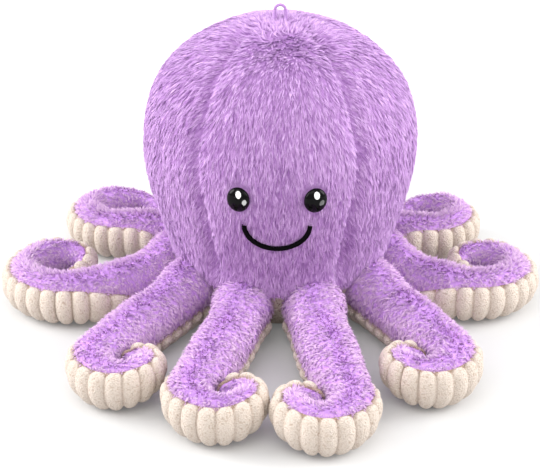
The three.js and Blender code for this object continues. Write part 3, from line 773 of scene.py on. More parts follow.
@dataclass
class Skin:
    """A skin as grids of rows and columns, with how the pile lies on it.

    Attributes:
        outward: Roughly the way that it faces.
        comb: The way that the pile is combed, nearly along the skin.
        lift: The angle at which the pile stands up from the skin.
        tone: How light the pile is, about 0.
    """

    points: Array
    outward: Array
    comb: Array
    lift: Array
    length: Array
    tone: Array

    def normals(self) -> Array:
        """Finds how the skin faces.

        Returns:
            The way that each point faces.
        """
        down, across = np.gradient(self.points, axis=(0, 1))
        facing = unit(np.cross(down, across))
        flip = np.sum(facing * self.outward, -1, keepdims=True) < 0
        return np.where(flip, -facing, facing)

    def areas(self) -> Array:
        """Measures the faces.

        Returns:
            The area of each in square mm, as one row.
        """
        corners = self.points
        first = np.cross(corners[1:, 1:] - corners[:-1, :-1], corners[1:, :-1] - corners[:-1, 1:])
        return np.linalg.norm(first, axis=-1).ravel() / 2

    def sample(self, count: int, rng: np.random.Generator) -> dict[str, Array]:
        """Picks places on the skin, evenly by area.

        Args:
            count: How many places.
            rng: Where the random numbers come from.

        Returns:
            point, normal, comb, lift, length and tone of each place.
        """
        areas = self.areas()
        cells = rng.choice(len(areas), count, p=areas / areas.sum())
        row, column = np.divmod(cells, self.points.shape[1] - 1)
        down, across = rng.random((2, count))
        fields = {
            "point": self.points,
            "normal": self.normals(),
            "comb": self.comb,
            "lift": self.lift[..., None],
            "length": self.length[..., None],
            "tone": self.tone[..., None],
        }
        picked = {}
        for name, values in fields.items():
            top = between(values[row, column], values[row, column + 1], across[:, None])
            bottom = between(values[row + 1, column], values[row + 1, column + 1], across[:, None])
            picked[name] = between(top, bottom, down[:, None])
        picked["normal"] = unit(picked["normal"])
        comb = picked["comb"]
        comb = comb - picked["normal"] * np.sum(comb * picked["normal"], -1, keepdims=True)
        picked["comb"] = unit(comb)
        return picked


PULL_AT_MIDDLE = 0.4
TRIM = 0.62
TRIMS = 4


@dataclass
class Fibres:
    """The fibres of a pile, one row each.

    Attributes:
        start: The way that it leaves the root.
        end: The way that it points at its tip.
        pull: How far its tip is drawn to its lock's middle.
        tone: How light it is, from 0 to 1.
    """

    root: Array
    normal: Array
    start: Array
    end: Array
    pull: Array
    length: Array
    tone: Array

    def middle(self) -> Array:
        """The middle of each fibre."""
        return self.root + self.start * self.length[:, None] * 0.5 - self.pull * PULL_AT_MIDDLE

    def tip(self) -> Array:
        """The tip of each fibre."""
        return self.root + (self.start + self.end) * self.length[:, None] * 0.5 - self.pull

    def clear_of(self, places: "list[Keepout]") -> "Fibres":
        """Trims the fibres that reach into places, and drops those that grow there.

        Args:
            places: Where no fibre may show.

        Returns:
            The fibres that are left.
        """
        keep = np.ones(len(self.root), bool)
        for place in places:
            for _ in range(TRIMS):
                hit = place.holds(self.tip()) | place.holds(self.middle())
                self.length = np.where(hit, self.length * TRIM, self.length)
            keep &= ~(place.holds(self.root) | place.holds(self.tip()))
        return Fibres(**{name: values[keep] for name, values in vars(self).items()})

    def draft(self, pile: "Pile", rng: np.random.Generator) -> Draft:
        """Shapes each fibre as a bent blade.

        Args:
            pile: How wide the fibres are and how they turn.
            rng: Where the random numbers come from.

        Returns:
            A draft of five points a fibre.
        """
        total = len(self.root)
        middle, tip = self.middle(), self.tip()
        reach = tip - self.root
        roll = np.radians(rng.uniform(-pile.roll, pile.roll, total))[:, None]
        across = unit(np.cross(self.normal, reach)) * np.cos(roll) + self.normal * np.sin(roll)
        blade = unit(np.cross(across, reach))
        flip = np.sum(blade * self.normal, -1, keepdims=True) < 0
        across, blade = np.where(flip, -across, across), np.where(flip, -blade, blade)
        half = across * (pile.width * rng.uniform(*pile.widths, total) / 2)[:, None]
        shoulder = half * pile.shoulder
        corners = [self.root - half, self.root + half, middle - shoulder, middle + shoulder, tip]
        first = np.arange(total)[:, None] * len(corners)
        shaded = unit(self.normal * pile.facing + blade * (1 - pile.facing))
        along = [0.0, 0.0, pile.bend_tone, pile.bend_tone, 1.0]
        return Draft(
            points=np.stack(corners, axis=1).reshape(-1, 3),
            quads=first + np.array([0, 1, 3, 2]),
            triangles=first + np.array([2, 3, 4]),
            normals=np.repeat(shaded, len(corners), axis=0),
            marks={"tone": np.repeat(self.tone, len(corners)), "along": np.tile(along, total)},
        )


@dataclass(frozen=True)
class Pile:
    """How a plush's pile grows: in locks of fibres that gather towards their tips.

    Attributes:
        locks: How many locks grow on a square cm.
        spread: The radius of a lock at its root.
        gather: The share of that spread that is gone at the tip.
        droop: How much flatter a fibre lies at its tip.
        stray: How far a lock strays from the combed way.
        wild: How far a fibre strays from its lock.
        facing: How much of the skin's own facing a fibre shows in shading.
    """

    seed: int
    locks: float
    fibres: int
    width: float
    spread: float
    gather: float
    droop: float
    stray: float
    wild: float
    mottle: float
    fleck: float
    facing: float
    roll: float = 38.0
    widths: Pair = (0.75, 1.2)
    shoulder: float = 0.9
    bend_tone: float = 0.55
    sink: float = 0.35
    lock_lengths: Pair = (0.82, 1.12)
    lengths: Pair = (0.72, 1.12)
    steepness: Pair = (0.1, 1.5)
    flattest: float = 0.03

    def grow(self, skin: Skin, clear: "list[Keepout]", seed: int) -> Draft:
        """Grows the pile on a skin.

        Args:
            skin: What it grows on.
            clear: What it keeps clear of.
            seed: What sets this skin's pile apart from others of its kind.

        Returns:
            A draft of bent blades, one for each fibre.
        """
        rng = np.random.default_rng(self.seed + seed)
        count = int(skin.areas().sum() / SQUARE_CM * self.locks)
        lock = skin.sample(count, rng)
        turn = np.radians(rng.normal(0, self.stray, count))[:, None]
        lock["way"] = self.turned(lock["comb"], lock["normal"], turn)
        lock["lift"] = lock["lift"] + rng.normal(0, self.stray / 3, (count, 1))
        lock["tone"] = lock["tone"] + rng.normal(0, self.mottle, (count, 1))
        lock["length"] = lock["length"] * rng.uniform(*self.lock_lengths, (count, 1))
        each = {name: np.repeat(values, self.fibres, axis=0) for name, values in lock.items()}
        total = count * self.fibres
        radius = self.spread * np.sqrt(rng.random(total))
        angle = rng.random(total) * 2 * np.pi
        side = np.cross(each["normal"], each["way"])
        offset = each["way"] * (radius * np.cos(angle))[:, None] + side * (radius * np.sin(angle))[:, None]
        own_turn = np.radians(rng.normal(0, self.wild, total))[:, None]
        way = self.turned(each["way"], each["normal"], own_turn)
        low = np.radians(each["lift"][:, 0] + rng.normal(0, self.wild / 2, total))
        low = np.clip(low, *self.steepness)[:, None]
        high = np.clip(low - np.radians(self.droop), self.flattest, self.steepness[1])
        fibres = Fibres(
            root=each["point"] + offset - each["normal"] * self.sink,
            normal=each["normal"],
            start=way * np.cos(low) + each["normal"] * np.sin(low),
            end=way * np.cos(high) + each["normal"] * np.sin(high),
            pull=offset * self.gather,
            length=each["length"][:, 0] * rng.uniform(*self.lengths, total),
            tone=np.clip(0.5 + each["tone"][:, 0] + rng.normal(0, self.fleck, total), 0, 1),
        )
        return fibres.clear_of(clear).draft(self, rng)

    @staticmethod
    def turned(way: Array, normal: Array, turn: Array) -> Array:
        """A way along the skin, turned in it by an angle in radians."""
        return way * np.cos(turn) + np.cross(normal, way) * np.sin(turn)


class Keepout:
    """A place that the pile keeps clear of."""

    def holds(self, points: Array) -> Array:
        """True for each point that lies in it."""
        raise NotImplementedError


# Head


@dataclass(frozen=True)
class HeadShape:
    """The head's outline and seams.

    Attributes:
        turn: How far the face and its seams are turned to the viewer's left.
        front_seam: From the face's middle, at the widest ring and below.
        seam_spread: How far the front seams open out towards the crown.
        seam_belly: How far they open out at the brow.
    """

    radius: float = 96.3
    equator: float = 123.0
    rise: float = 88.2
    hem: float = 35.0
    hem_radius: float = 74.0
    crown_power: float = 2.28
    lower_power: float = 1.55
    turn: float = -1.5
    front_seam: float = 32.0
    seam_spread: float = 10.0
    seam_belly: float = 3.2
    belly_height: float = 141.0
    belly_reach: float = 32.0

    def radius_at(self, height: Array) -> Array:
        """The radius of the skin at a height.

        Args:
            height: A height, or several.

        Returns:
            The radius at each.
        """
        rise = np.clip((height - self.equator) / self.rise, 0, 1)
        drop = np.clip((self.equator - height) / (self.equator - self.hem), 0, None)
        upper = self.radius * (1 - rise**self.crown_power) ** (1 / self.crown_power)
        lower = self.radius - (self.radius - self.hem_radius) * drop**self.lower_power
        return np.where(height >= self.equator, upper, lower)

    def profile(self, count: int, top_radius: float, tuck: float) -> Array:
        """The outline from the hem to the crown, at even steps along it.

        Args:
            count: How many points.
            top_radius: The radius at which it ends, at the crown.
            tuck: How far below the hem it starts.

        Returns:
            Radius and height of each point.
        """
        angles = np.radians(np.linspace(0, 90, 400))
        low = np.linspace(self.hem - tuck, self.equator, 200)[:-1]
        upper = np.stack(
            [
                self.radius * np.cos(angles) ** (2 / self.crown_power),
                self.equator + self.rise * np.sin(angles) ** (2 / self.crown_power),
            ],
            axis=-1,
        )
        line = np.concatenate([np.stack([self.radius_at(low), low], -1), upper])
        top = line[:, 1] > self.equator
        return evened(line, count, np.interp(-top_radius, -line[top, 0], lengths_along(line)[top]))

    def seam(self, base: float, height: Array) -> Array:
        """The angle of a seam round the head, from the front, at a height.

        Args:
            base: The seam's angle at the widest ring.
            height: A height, or several.

        Returns:
            The angle at each.
        """
        rise = np.clip((height - self.equator) / self.rise, 0, 1)
        belly = np.exp(-(((height - self.belly_height) / self.belly_reach) ** 2))
        spread = self.seam_spread * rise**3 + self.seam_belly * belly
        return base + self.turn + np.sign(base) * spread * (abs(base) == self.front_seam)

    def point(self, angle: Array, radius: Array, height: Array) -> Array:
        """A point round the head, at an angle from the front towards the viewer's right."""
        turn = np.radians(angle)
        return np.stack([radius * np.sin(turn), -radius * np.cos(turn), height + 0 * turn], -1)

    def facing(self, height: float) -> Pair:
        """How the skin faces at a height.

        Args:
            height: The height.

        Returns:
            How much it faces out and how much up.
        """
        step = 0.4
        low, high = self.radius_at(np.array([height - step, height + step]))
        size = math.hypot(2 * step, low - high)
        return 2 * step / size, (low - high) / size

    def on_skin(self, angle: float, height: float, out: float = 0.0) -> Array:
        """A point on the skin, or out from it.

        Args:
            angle: From the front.
            height: The height.
            out: How far out it is.

        Returns:
            The point.
        """
        across, up = self.facing(height)
        radius = float(self.radius_at(np.array(height))) + across * out
        return self.point(np.array(angle), np.array(radius), np.array(height + up * out))


@dataclass(frozen=True)
class HeadNap:
    """How the head's pile is combed: away from a whorl on the crown, and parted at the seams.

    Other pairs are distances from the whorl between which something starts or ends.

    Attributes:
        core_drop: How far below the equator the skin's outward ways start.
        hang: How much the pile points down, and how much more where it hangs.
        near: Where the short upright pile round the whorl ends.
        seam_trim: How much shorter the pile is where it leans away from a seam, as a share.
        seam_shade_and_highlight: How much painted shade darkens a seam where the pile lies over it, and
            where it leans away. Below zero it is a painted highlight instead, as where the pile lies over.
        low: The heights over the hem between which hem_painted_light, painted light towards the hem, ends.
    """

    whorl: Triple = (2.0, -30.0, 209.0)
    core_drop: float = 20.0
    fall: Pair = (20.0, 120.0)
    fall_away: float = 0.45
    hang: Pair = (0.25, 0.6)
    sway: SoftNoise = SoftNoise(5, 26, 0.22)
    scruff_seeds: tuple[int, int, int] = (51, 52, 53)
    scruff_size: float = 5.5
    scruff_height: float = 1.5
    scruff: Pair = (18.0, 44.0)
    parting_width: float = 7.0
    parting: Pair = (16.0, 60.0)
    parting_lean: float = 0.7
    near: Pair = (14.0, 42.0)
    lift: float = 13.0
    near_lift: float = 24.0
    lift_wave: SoftNoise = SoftNoise(6, 14, 3)
    length: float = 8.2
    near_trim: float = 1.8
    length_wave: SoftNoise = SoftNoise(7, 18, 0.8)
    hem_trim: float = 0.5
    hem_reach: float = 16.0
    seam_trim: float = 0.15
    seam_shade_and_highlight: Pair = (-0.08, 0.1)
    tone_wave: SoftNoise = SoftNoise(8, 20, 0.12)
    # whorl_painted_light and hem_painted_light are painted light, at the whorl and towards the hem.
    whorl_painted_light: float = 0.05
    hem_painted_light: float = 0.07
    low: Pair = (5.0, 70.0)

    def on(self, points: Array, seam: Array, lay: Lay, shape: HeadShape) -> Skin:
        """Combs the pile on a panel.

        Args:
            points: The panel's outside, as rows, columns, 3.
            seam: How far each is from the nearest seam, below zero by the panel's first seam.
            lay: How the pile lies at the seams.
            shape: The head's.

        Returns:
            The panel's skin.
        """
        outward = points - np.array([0, 0, shape.equator - self.core_drop])
        away = points - np.array(self.whorl)
        distance = np.linalg.norm(away, axis=-1)
        fall = smooth(distance, *self.fall)[..., None]
        comb = unit(away) * (1 - self.fall_away * fall) - UP * (self.hang[0] + self.hang[1] * fall)
        comb = comb + self.sway.at(points)[..., None] * unit(np.cross(UP, outward))
        tufts = [SoftNoise(seed, self.scruff_size, self.scruff_height) for seed in self.scruff_seeds]
        scruff = np.stack([tuft.at(points) for tuft in tufts], -1)
        comb = comb + scruff * (1 - smooth(distance, *self.scruff))[..., None]
        parted = np.exp(-((seam / self.parting_width) ** 2)) * smooth(distance, *self.parting)
        sideways = np.sign(seam) * parted * lay.value
        comb = comb + self.parting_lean * sideways[..., None] * unit(np.gradient(points, axis=1))
        near = 1 - smooth(distance, *self.near)
        above = points[..., 2] - shape.hem
        leaning = lay is Lay.AWAY
        length = self.length - self.near_trim * near + self.length_wave.at(points)
        length = length * (1 - self.hem_trim * (1 - smooth(above, 0, self.hem_reach)))
        # Painted light: the pile is lighter round the whorl, where its upright fibres shade each other.
        tone = self.tone_wave.at(points) + self.whorl_painted_light * near
        # Painted light towards the hem, where the tentacles shade the pile. Painted shade at a seam where
        # the pile leans away, and a painted highlight where it lies over.
        tone = tone + self.hem_painted_light * (1 - smooth(above, *self.low)) - self.seam_shade_and_highlight[leaning] * parted
        return Skin(
            points=points,
            outward=outward,
            comb=comb,
            lift=self.lift + self.near_lift * near + self.lift_wave.at(points),
            length=length * (1 - self.seam_trim * parted * leaning),
            tone=tone,
        )


@dataclass(frozen=True)
class HeadPanel:
    """One sewn panel of the head's cover, between two seams.

    Attributes:
        crowded: How much its columns crowd at the seams, and even how much they don't.
        inset: How far the cloth lies inside the head's outline. At the hem, the crown and the face
            it is another.
        crown: The radii over which the crown's ends.
        face: The cosines of the angle from the front over which the face's starts.
        seam_depths: How deep a seam draws the cloth in, by the seam's angle.
        dip: The radii over which that starts at the crown.
    """

    name: str
    start: float
    stop: float
    columns: int
    lay: Lay
    shape: HeadShape = HeadShape()
    nap: HeadNap = HeadNap()
    rows: int = 88
    even: float = 0.45
    crowded: float = 0.55
    tuck: float = -2.0
    top_radius: float = 3.0
    seam_gap: float = 0.1
    thickness: float = 2.4
    fill: float = 0.85
    inset: float = 0.9
    hem_inset: float = -0.6
    hem_rise: float = 24.0
    crown_inset: float = -0.9
    crown: Pair = (12.0, 62.0)
    crown_height: Pair = (100.0, 110.0)
    face_inset: float = 2.6
    face: Pair = (0.45, 0.85)
    face_top: Pair = (150.0, 185.0)
    seam_depths: tuple[Pair, ...] = ((32.0, 4.6), (106.0, 3.0), (180.0, 1.2))
    seam_curve: float = 1.6
    over_width: float = 3.2
    away_width: float = 6.5
    hem_dip: float = 0.1
    crown_dip: float = 0.06
    dip: Pair = (12.0, 50.0)
    lumps: SoftNoise = SoftNoise(11, 34, 0.7)

    def grid(self, inner: float) -> tuple[Array, Array]:
        """The panel's skin.

        Args:
            inner: How far it lies inside the outer skin.

        Returns:
            The points, as rows, columns, 3, and how far each is from the nearest seam, below zero by
            the panel's first seam.
        """
        outline = self.shape.profile(self.rows, self.top_radius, self.tuck)
        slope = unit(np.gradient(outline, axis=0))
        radius, height = outline[:, :1], outline[:, 1:]
        facing_out, facing_up = slope[:, 1:], -slope[:, :1]
        even = np.linspace(0, 1, self.columns)
        shares = self.even * even + self.crowded * (0.5 - 0.5 * np.cos(np.pi * even))
        margin = np.degrees(self.seam_gap / radius)
        start = self.shape.seam(self.start, height) + margin
        stop = self.shape.seam(self.stop, height) - margin
        angle = start + (stop - start) * shares
        edge = np.minimum(shares, 1 - shares) * (np.radians(stop - start) * radius)
        first = shares < 0.5
        depth = np.interp(np.where(first, abs(self.start), abs(self.stop)), *zip(*self.seam_depths))
        width = self.over_width if self.lay is Lay.OVER else self.away_width
        dip = depth * np.exp(-((edge / width) ** self.seam_curve))
        rise = smooth(height, self.shape.hem - self.tuck, self.shape.hem + self.hem_rise)
        crown = 1 - smooth(radius, *self.crown) * smooth(height, *self.crown_height)
        crown *= height > self.shape.equator
        fade = between(self.hem_dip, 1, rise) * between(self.crown_dip, 1, smooth(radius, *self.dip))
        face = smooth(np.cos(np.radians(angle)), *self.face) * (1 - smooth(height, *self.face_top))
        inset = between(self.inset, self.face_inset, face) - (self.inset - self.crown_inset) * crown
        depth = between(self.hem_inset, inset, rise) + inner + dip * fade
        points = self.shape.point(angle, radius - facing_out * depth, height - facing_up * depth)
        away = points - np.array([0, 0, self.shape.equator])
        return points + unit(away) * self.lumps.at(points)[..., None], np.where(first, -edge, edge)

    def build(self, pile: Pile, clear: list[Keepout], seed: int) -> None:
        """Builds the panel and its pile.

        Args:
            pile: How the pile grows.
            clear: What the pile keeps clear of.
            seed: What sets this panel's pile apart.
        """
        points, seam = self.grid(0.0)
        skin = self.nap.on(points, seam, self.lay, self.shape)
        lining, _ = self.grid(self.thickness)
        cloth = shell(points, lining).build(f"{self.name}_plush", HEAD_BACKING.material())
        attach(cloth, "head")
        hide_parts(self.name)
        fur = pile.grow(skin, clear, seed).build(f"{self.name}_pile", HEAD_PILE.material())
        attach(fur, "head")
        log.info("%s: %d fibres", self.name, len(fur.data.vertices) // 5)


@dataclass(frozen=True)
class EyeSpot(Keepout):
    """The room of an eye in the pile."""

    centre: Array
    across: Array
    up: Array
    half_width: float
    half_height: float
    depth: float

    def holds(self, points: Array) -> Array:
        """Tells what lies in it.

        Args:
            points: Where the pile would be.

        Returns:
            True for each point that lies in it.
        """
        away = points - self.centre
        share = (away @ self.across / self.half_width) ** 2 + (away @ self.up / self.half_height) ** 2
        return (share < 1) & (np.linalg.norm(away, axis=-1) < self.depth)


@dataclass(frozen=True)
class StitchLine(Keepout):
    """The room of the smile in the pile: what lies within reach of its line.

    Attributes:
        span: More than the smile's own length, to skip what is far off.
    """

    line: Array
    reach: float
    span: float = 40.0

    def holds(self, points: Array) -> Array:
        """Tells what lies in it.

        Args:
            points: Where the pile would be.

        Returns:
            True for each point that lies in it.
        """
        near = np.zeros(len(points), bool)
        close = np.linalg.norm(points - self.line.mean(0), axis=-1) < self.span
        some = points[close]
        if len(some):
            gaps = np.linalg.norm(some[:, None] - self.line[None], axis=-1).min(1)
            near[close] = gaps < self.reach
        return near


@dataclass(frozen=True)
class SafetyEye:
    """A glossy domed eye on a ridged stem, and the washer that holds it behind the cover.

    Attributes:
        back_edge: How far in from the rim and out from the back its edge goes.
        depth: How far from it no pile may show, over half its height.
        overlap: How far the pile reaches over its edge.
        washer_mouth: How far out from its hole and back from its front the hole's funnel goes.
    """

    side: Side
    shape: HeadShape = HeadShape()
    angle: float = 15.0
    height: float = 119.5
    half_width: float = 7.8
    half_height: float = 8.8
    dome: float = 5.4
    rim: float = 1.2
    gap: float = 0.4
    back_edge: tuple[Pair, ...] = ((0.8, 0.0), (0.25, 0.15), (0.0, 0.6))
    dome_parts: float = 14.4
    depth: float = 3.0
    overlap: float = 0.1
    stem_radius: float = 2.2
    stem_length: float = 9.4
    stem_tip: Pair = (0.5, 0.6)
    stem_top: Pair = (0.2, 0.1)
    ridges: int = 6
    ridge_start: float = 0.4
    ridge_pitch: float = 1.2
    ridge_size: Pair = (0.25, 0.4)
    washer_radius: float = 7.5
    washer_inner: float = 2.6
    washer_back: float = -7.8
    washer_thickness: float = 1.6
    washer_round: float = 0.35
    washer_mouth: tuple[Pair, ...] = ((1.2, 0.0), (0.9, 0.3), (0.0, 0.4))
    sides: tuple[int, int, int] = (48, 20, 32)

    def axes(self) -> tuple[Array, Array, Array, Array]:
        """The eye's own place.

        Returns:
            Its centre on the skin, its ways across and up, and the way it looks.
        """
        angle = self.side.value * self.angle + self.shape.turn
        centre = self.shape.on_skin(angle, self.height)
        out, up = self.shape.facing(self.height)
        turn = math.radians(angle)
        look = np.array([out * math.sin(turn), -out * math.cos(turn), up])
        across = np.array([math.cos(turn), math.sin(turn), 0.0])
        return centre, across, np.cross(look, across), look

    def placed(self, rings: Array, tall: float = 1.0) -> Array:
        """Moves rings from the eye's own axis onto the head."""
        centre, across, up, look = self.axes()
        return centre + rings[..., :1] * across + rings[..., 1:2] * up * tall + rings[..., 2:] * look

    def spot(self) -> EyeSpot:
        """The room that the pile leaves for the eye.

        Returns:
            The room.
        """
        centre, across, up, _ = self.axes()
        half_width, half_height = self.half_width - self.overlap, self.half_height - self.overlap
        return EyeSpot(centre, across, up, half_width, half_height, self.depth * half_height)

    def bead(self) -> Draft:
        """The domed eye.

        Returns:
            A closed draft.
        """
        outline = [(self.stem_radius, self.gap)]
        outline += [(self.half_width - far, self.gap + out) for far, out in self.back_edge]
        for step in range(1, int(self.dome_parts) + 1):
            angle = math.radians(90 * step / self.dome_parts)
            rise = self.gap + self.rim + (self.dome - self.rim) * math.sin(angle)
            outline.append((self.half_width * math.cos(angle), rise))
        return tube(self.placed(lathe(outline, self.sides[0]), self.half_height / self.half_width))

    def stem(self) -> Draft:
        """The ridged stem behind it.

        Returns:
            A closed draft.
        """
        radius, start = self.stem_radius, -self.stem_length
        outline = [(radius - self.stem_tip[0], start), (radius, start + self.stem_tip[1])]
        for step in range(self.ridges):
            ridge = start + self.ridge_start + self.ridge_pitch * (step + 1)
            outline += [(radius, ridge), (radius - self.ridge_size[0], ridge + self.ridge_size[1])]
        outline.append((radius - self.stem_top[0], self.gap - self.stem_top[1]))
        return tube(self.placed(lathe(outline, self.sides[1])))

    def washer(self) -> Draft:
        """The washer on the stem.

        Returns:
            A closed draft.
        """
        back, front = self.washer_back, self.washer_back + self.washer_thickness
        inner, outer, soft = self.washer_inner, self.washer_radius, self.washer_round
        ring = [(inner, back + soft), (inner + soft, back), (outer - soft, back), (outer, back + soft)]
        ring += [(outer, front - soft), (outer - soft, front)]
        ring += [(inner + far, front - deep) for far, deep in self.washer_mouth]
        rings = self.placed(lathe(ring, self.sides[2]))
        quads = grid_quads(len(ring), self.sides[2], wrap=True, close=True)
        return Draft(rings.reshape(-1, 3), quads).outward()

    def build(self) -> None:
        """Builds the eye and its washer."""
        name = self.side.name.lower()
        eye = joined([self.bead(), self.stem()]).build(f"eye_{name}_bead", EYE_GLOSS.material())
        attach(eye, "head")
        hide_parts(f"eye_{name}")
        washer = self.washer().build(f"washer_{name}", WASHER_PLASTIC.material())
        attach(washer, "head")
        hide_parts(f"eye_washer_{name}")
        log.info("eye %s", name)


@dataclass(frozen=True)
class Smile:
    """The stitched mouth: a close row of satin stitches over a thin core.

    Attributes:
        sink: How far inside the head's outline a stitch starts and ends.
        room: How far from the line no pile may show.
        slant: How far on a stitch ends, in degrees of the smile.
    """

    shape: HeadShape = HeadShape()
    half_width: float = 22.0
    top: float = 98.5
    drop: float = 17.5
    thread: float = 2.6
    rise: float = 1.4
    sink: float = 1.6
    room: float = 1.25
    stitches: int = 120
    seed: int = 31
    widths: Pair = (0.93, 1.05)
    slant: float = 1.3
    slant_stray: float = 0.25
    steps: int = 7
    sides: int = 6
    gauge: float = 0.34
    arch: float = 0.98
    core_depth: float = 0.2
    core_margin: float = 0.35
    core_steps: int = 70
    core_sides: int = 10
    line_steps: int = 60

    def at(self, sweep: Array) -> tuple[Array, Array]:
        """The smile's line as x and height, at angles from 0 at the viewer's left to 180."""
        turn = np.radians(sweep)
        return -self.half_width * np.cos(turn), self.top - self.drop * np.sin(turn)

    def slope(self, sweep: Array) -> tuple[Array, Array]:
        """The way across the smile's line.

        Args:
            sweep: Angles as in the line.

        Returns:
            Its x and its height.
        """
        turn = np.radians(sweep)
        along_x, along_up = self.half_width * np.sin(turn), -self.drop * np.cos(turn)
        size = np.hypot(along_x, along_up)
        return -along_up / size, along_x / size

    def on_face(self, x: Array, height: Array, out: Array) -> Array:
        """Points on the face panel, or out from it.

        Args:
            x: Towards the viewer's right.
            height: The height.
            out: How far out it is.

        Returns:
            A point for each.
        """
        across, up = np.vectorize(self.shape.facing)(height)
        radius = self.shape.radius_at(height)
        angle = np.degrees(np.arcsin(x / radius)) + self.shape.turn
        return self.shape.point(angle, radius + across * out, height + up * out)

    def line(self) -> Array:
        """Points along the smile, on the face."""
        x, height = self.at(np.linspace(0, 180, self.line_steps))
        return self.on_face(x, height, 0 * x)

    def stitch(self, sweep: float, rng: np.random.Generator) -> Draft:
        """One stitch: a thread that arches over the line, a little aslant.

        Args:
            sweep: Where along the smile.
            rng: Where the random numbers come from.

        Returns:
            A closed draft.
        """
        reach = np.linspace(-1, 1, self.steps)
        half = self.thread / 2 * rng.uniform(*self.widths)
        slant = self.slant + rng.normal(0, self.slant_stray)
        centre_x, centre_up = self.at(np.array(sweep + slant * reach))
        across_x, across_up = self.slope(np.array(sweep + 0 * reach))
        arch = np.sqrt(np.clip(1 - (reach * self.arch) ** 2, 0, 1))
        out = -self.sink + (self.rise + self.sink) * arch
        path = self.on_face(centre_x + across_x * half * reach, centre_up + across_up * half * reach, out)
        return sweep_tube(path, np.full(self.steps, self.gauge), self.sides)

    def core(self) -> Draft:
        """The padding under the stitches.

        Returns:
            A closed draft.
        """
        x, height = self.at(np.linspace(1, 179, self.core_steps))
        path = self.on_face(x, height, np.full(self.core_steps, -self.core_depth))
        radii = np.full(self.core_steps, self.thread / 2 - self.core_margin)
        return sweep_tube(path, radii, self.core_sides)

    def build(self) -> None:
        """Builds the smile."""
        rng = np.random.default_rng(self.seed)
        drafts = [self.stitch(sweep, rng) for sweep in np.linspace(0, 180, self.stitches)]
        smile = joined([*drafts, self.core()]).build("smile_stitches", MOUTH_THREAD.material())
        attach(smile, "head")
        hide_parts("mouth_embroidery")
        log.info("smile: %d stitches", self.stitches)


@dataclass(frozen=True)
class HangingLoop:
    """The short loop of two-ply cord at the crown, on a bar in the seam.

    Attributes:
        half_width: To the cord's middle.
        rise: From the hinge to the top of the cord's middle line.
        counts: How many points the bend, the cord and the bar have.
    """

    half_width: float = 3.7
    rise: float = 13.6
    hinge: float = 208.8
    sunk: float = 1.0
    cord: float = 1.3
    ply: float = 0.74
    twists: float = 9.0
    foot_half: float = 5.2
    foot_radius: float = 1.7
    foot_blunt: float = 0.97
    foot_tip: float = 0.1
    counts: tuple[int, int, int] = (40, 150, 14)
    sides: tuple[int, int] = (8, 12)

    def path(self) -> Array:
        """The cord's middle line, from one foot over the top to the other.

        Returns:
            Points at even steps.
        """
        leg = self.rise - self.half_width
        arc = np.radians(np.linspace(180, 0, self.counts[0]))
        x, up = self.half_width * np.cos(arc), leg + self.half_width * np.sin(arc)
        ends = [[[side * self.half_width, 0, -self.sunk]] for side in (-1, 1)]
        line = np.concatenate([ends[0], np.stack([x, 0 * arc, up], -1), ends[1]])
        return evened(line, self.counts[1]) + UP * self.hinge

    def build(self) -> None:
        """Builds the loop."""
        path, (_, count, bar_count) = self.path(), self.counts
        along = unit(np.gradient(path, axis=0))
        lift = np.array([0.0, 1.0, 0.0])
        across = np.cross(along, lift)
        turn = np.linspace(0, 2 * np.pi * self.twists, count)[:, None]
        plies = []
        for phase in (0, np.pi):
            offset = across * np.cos(turn + phase) + lift * np.sin(turn + phase)
            strand = path + offset * (self.cord - self.ply)
            plies.append(sweep_tube(strand, np.full(count, self.ply), self.sides[0]))
        ends = np.array([[side * self.foot_half, 0, self.hinge] for side in (-1, 1)])
        bar = ends[0] + np.linspace(0, 1, bar_count)[:, None] * (ends[1] - ends[0])
        place = np.linspace(-self.foot_blunt, self.foot_blunt, bar_count)
        bulge = self.foot_radius * np.sqrt(np.clip(1 - place**4, self.foot_tip, 1))
        plies.append(sweep_tube(bar, bulge, self.sides[1]))
        loop = joined(plies).build("loop_cord", LOOP_THREAD.material())
        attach(loop, "loop")
        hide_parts("hanging_loop")
        log.info("loop")


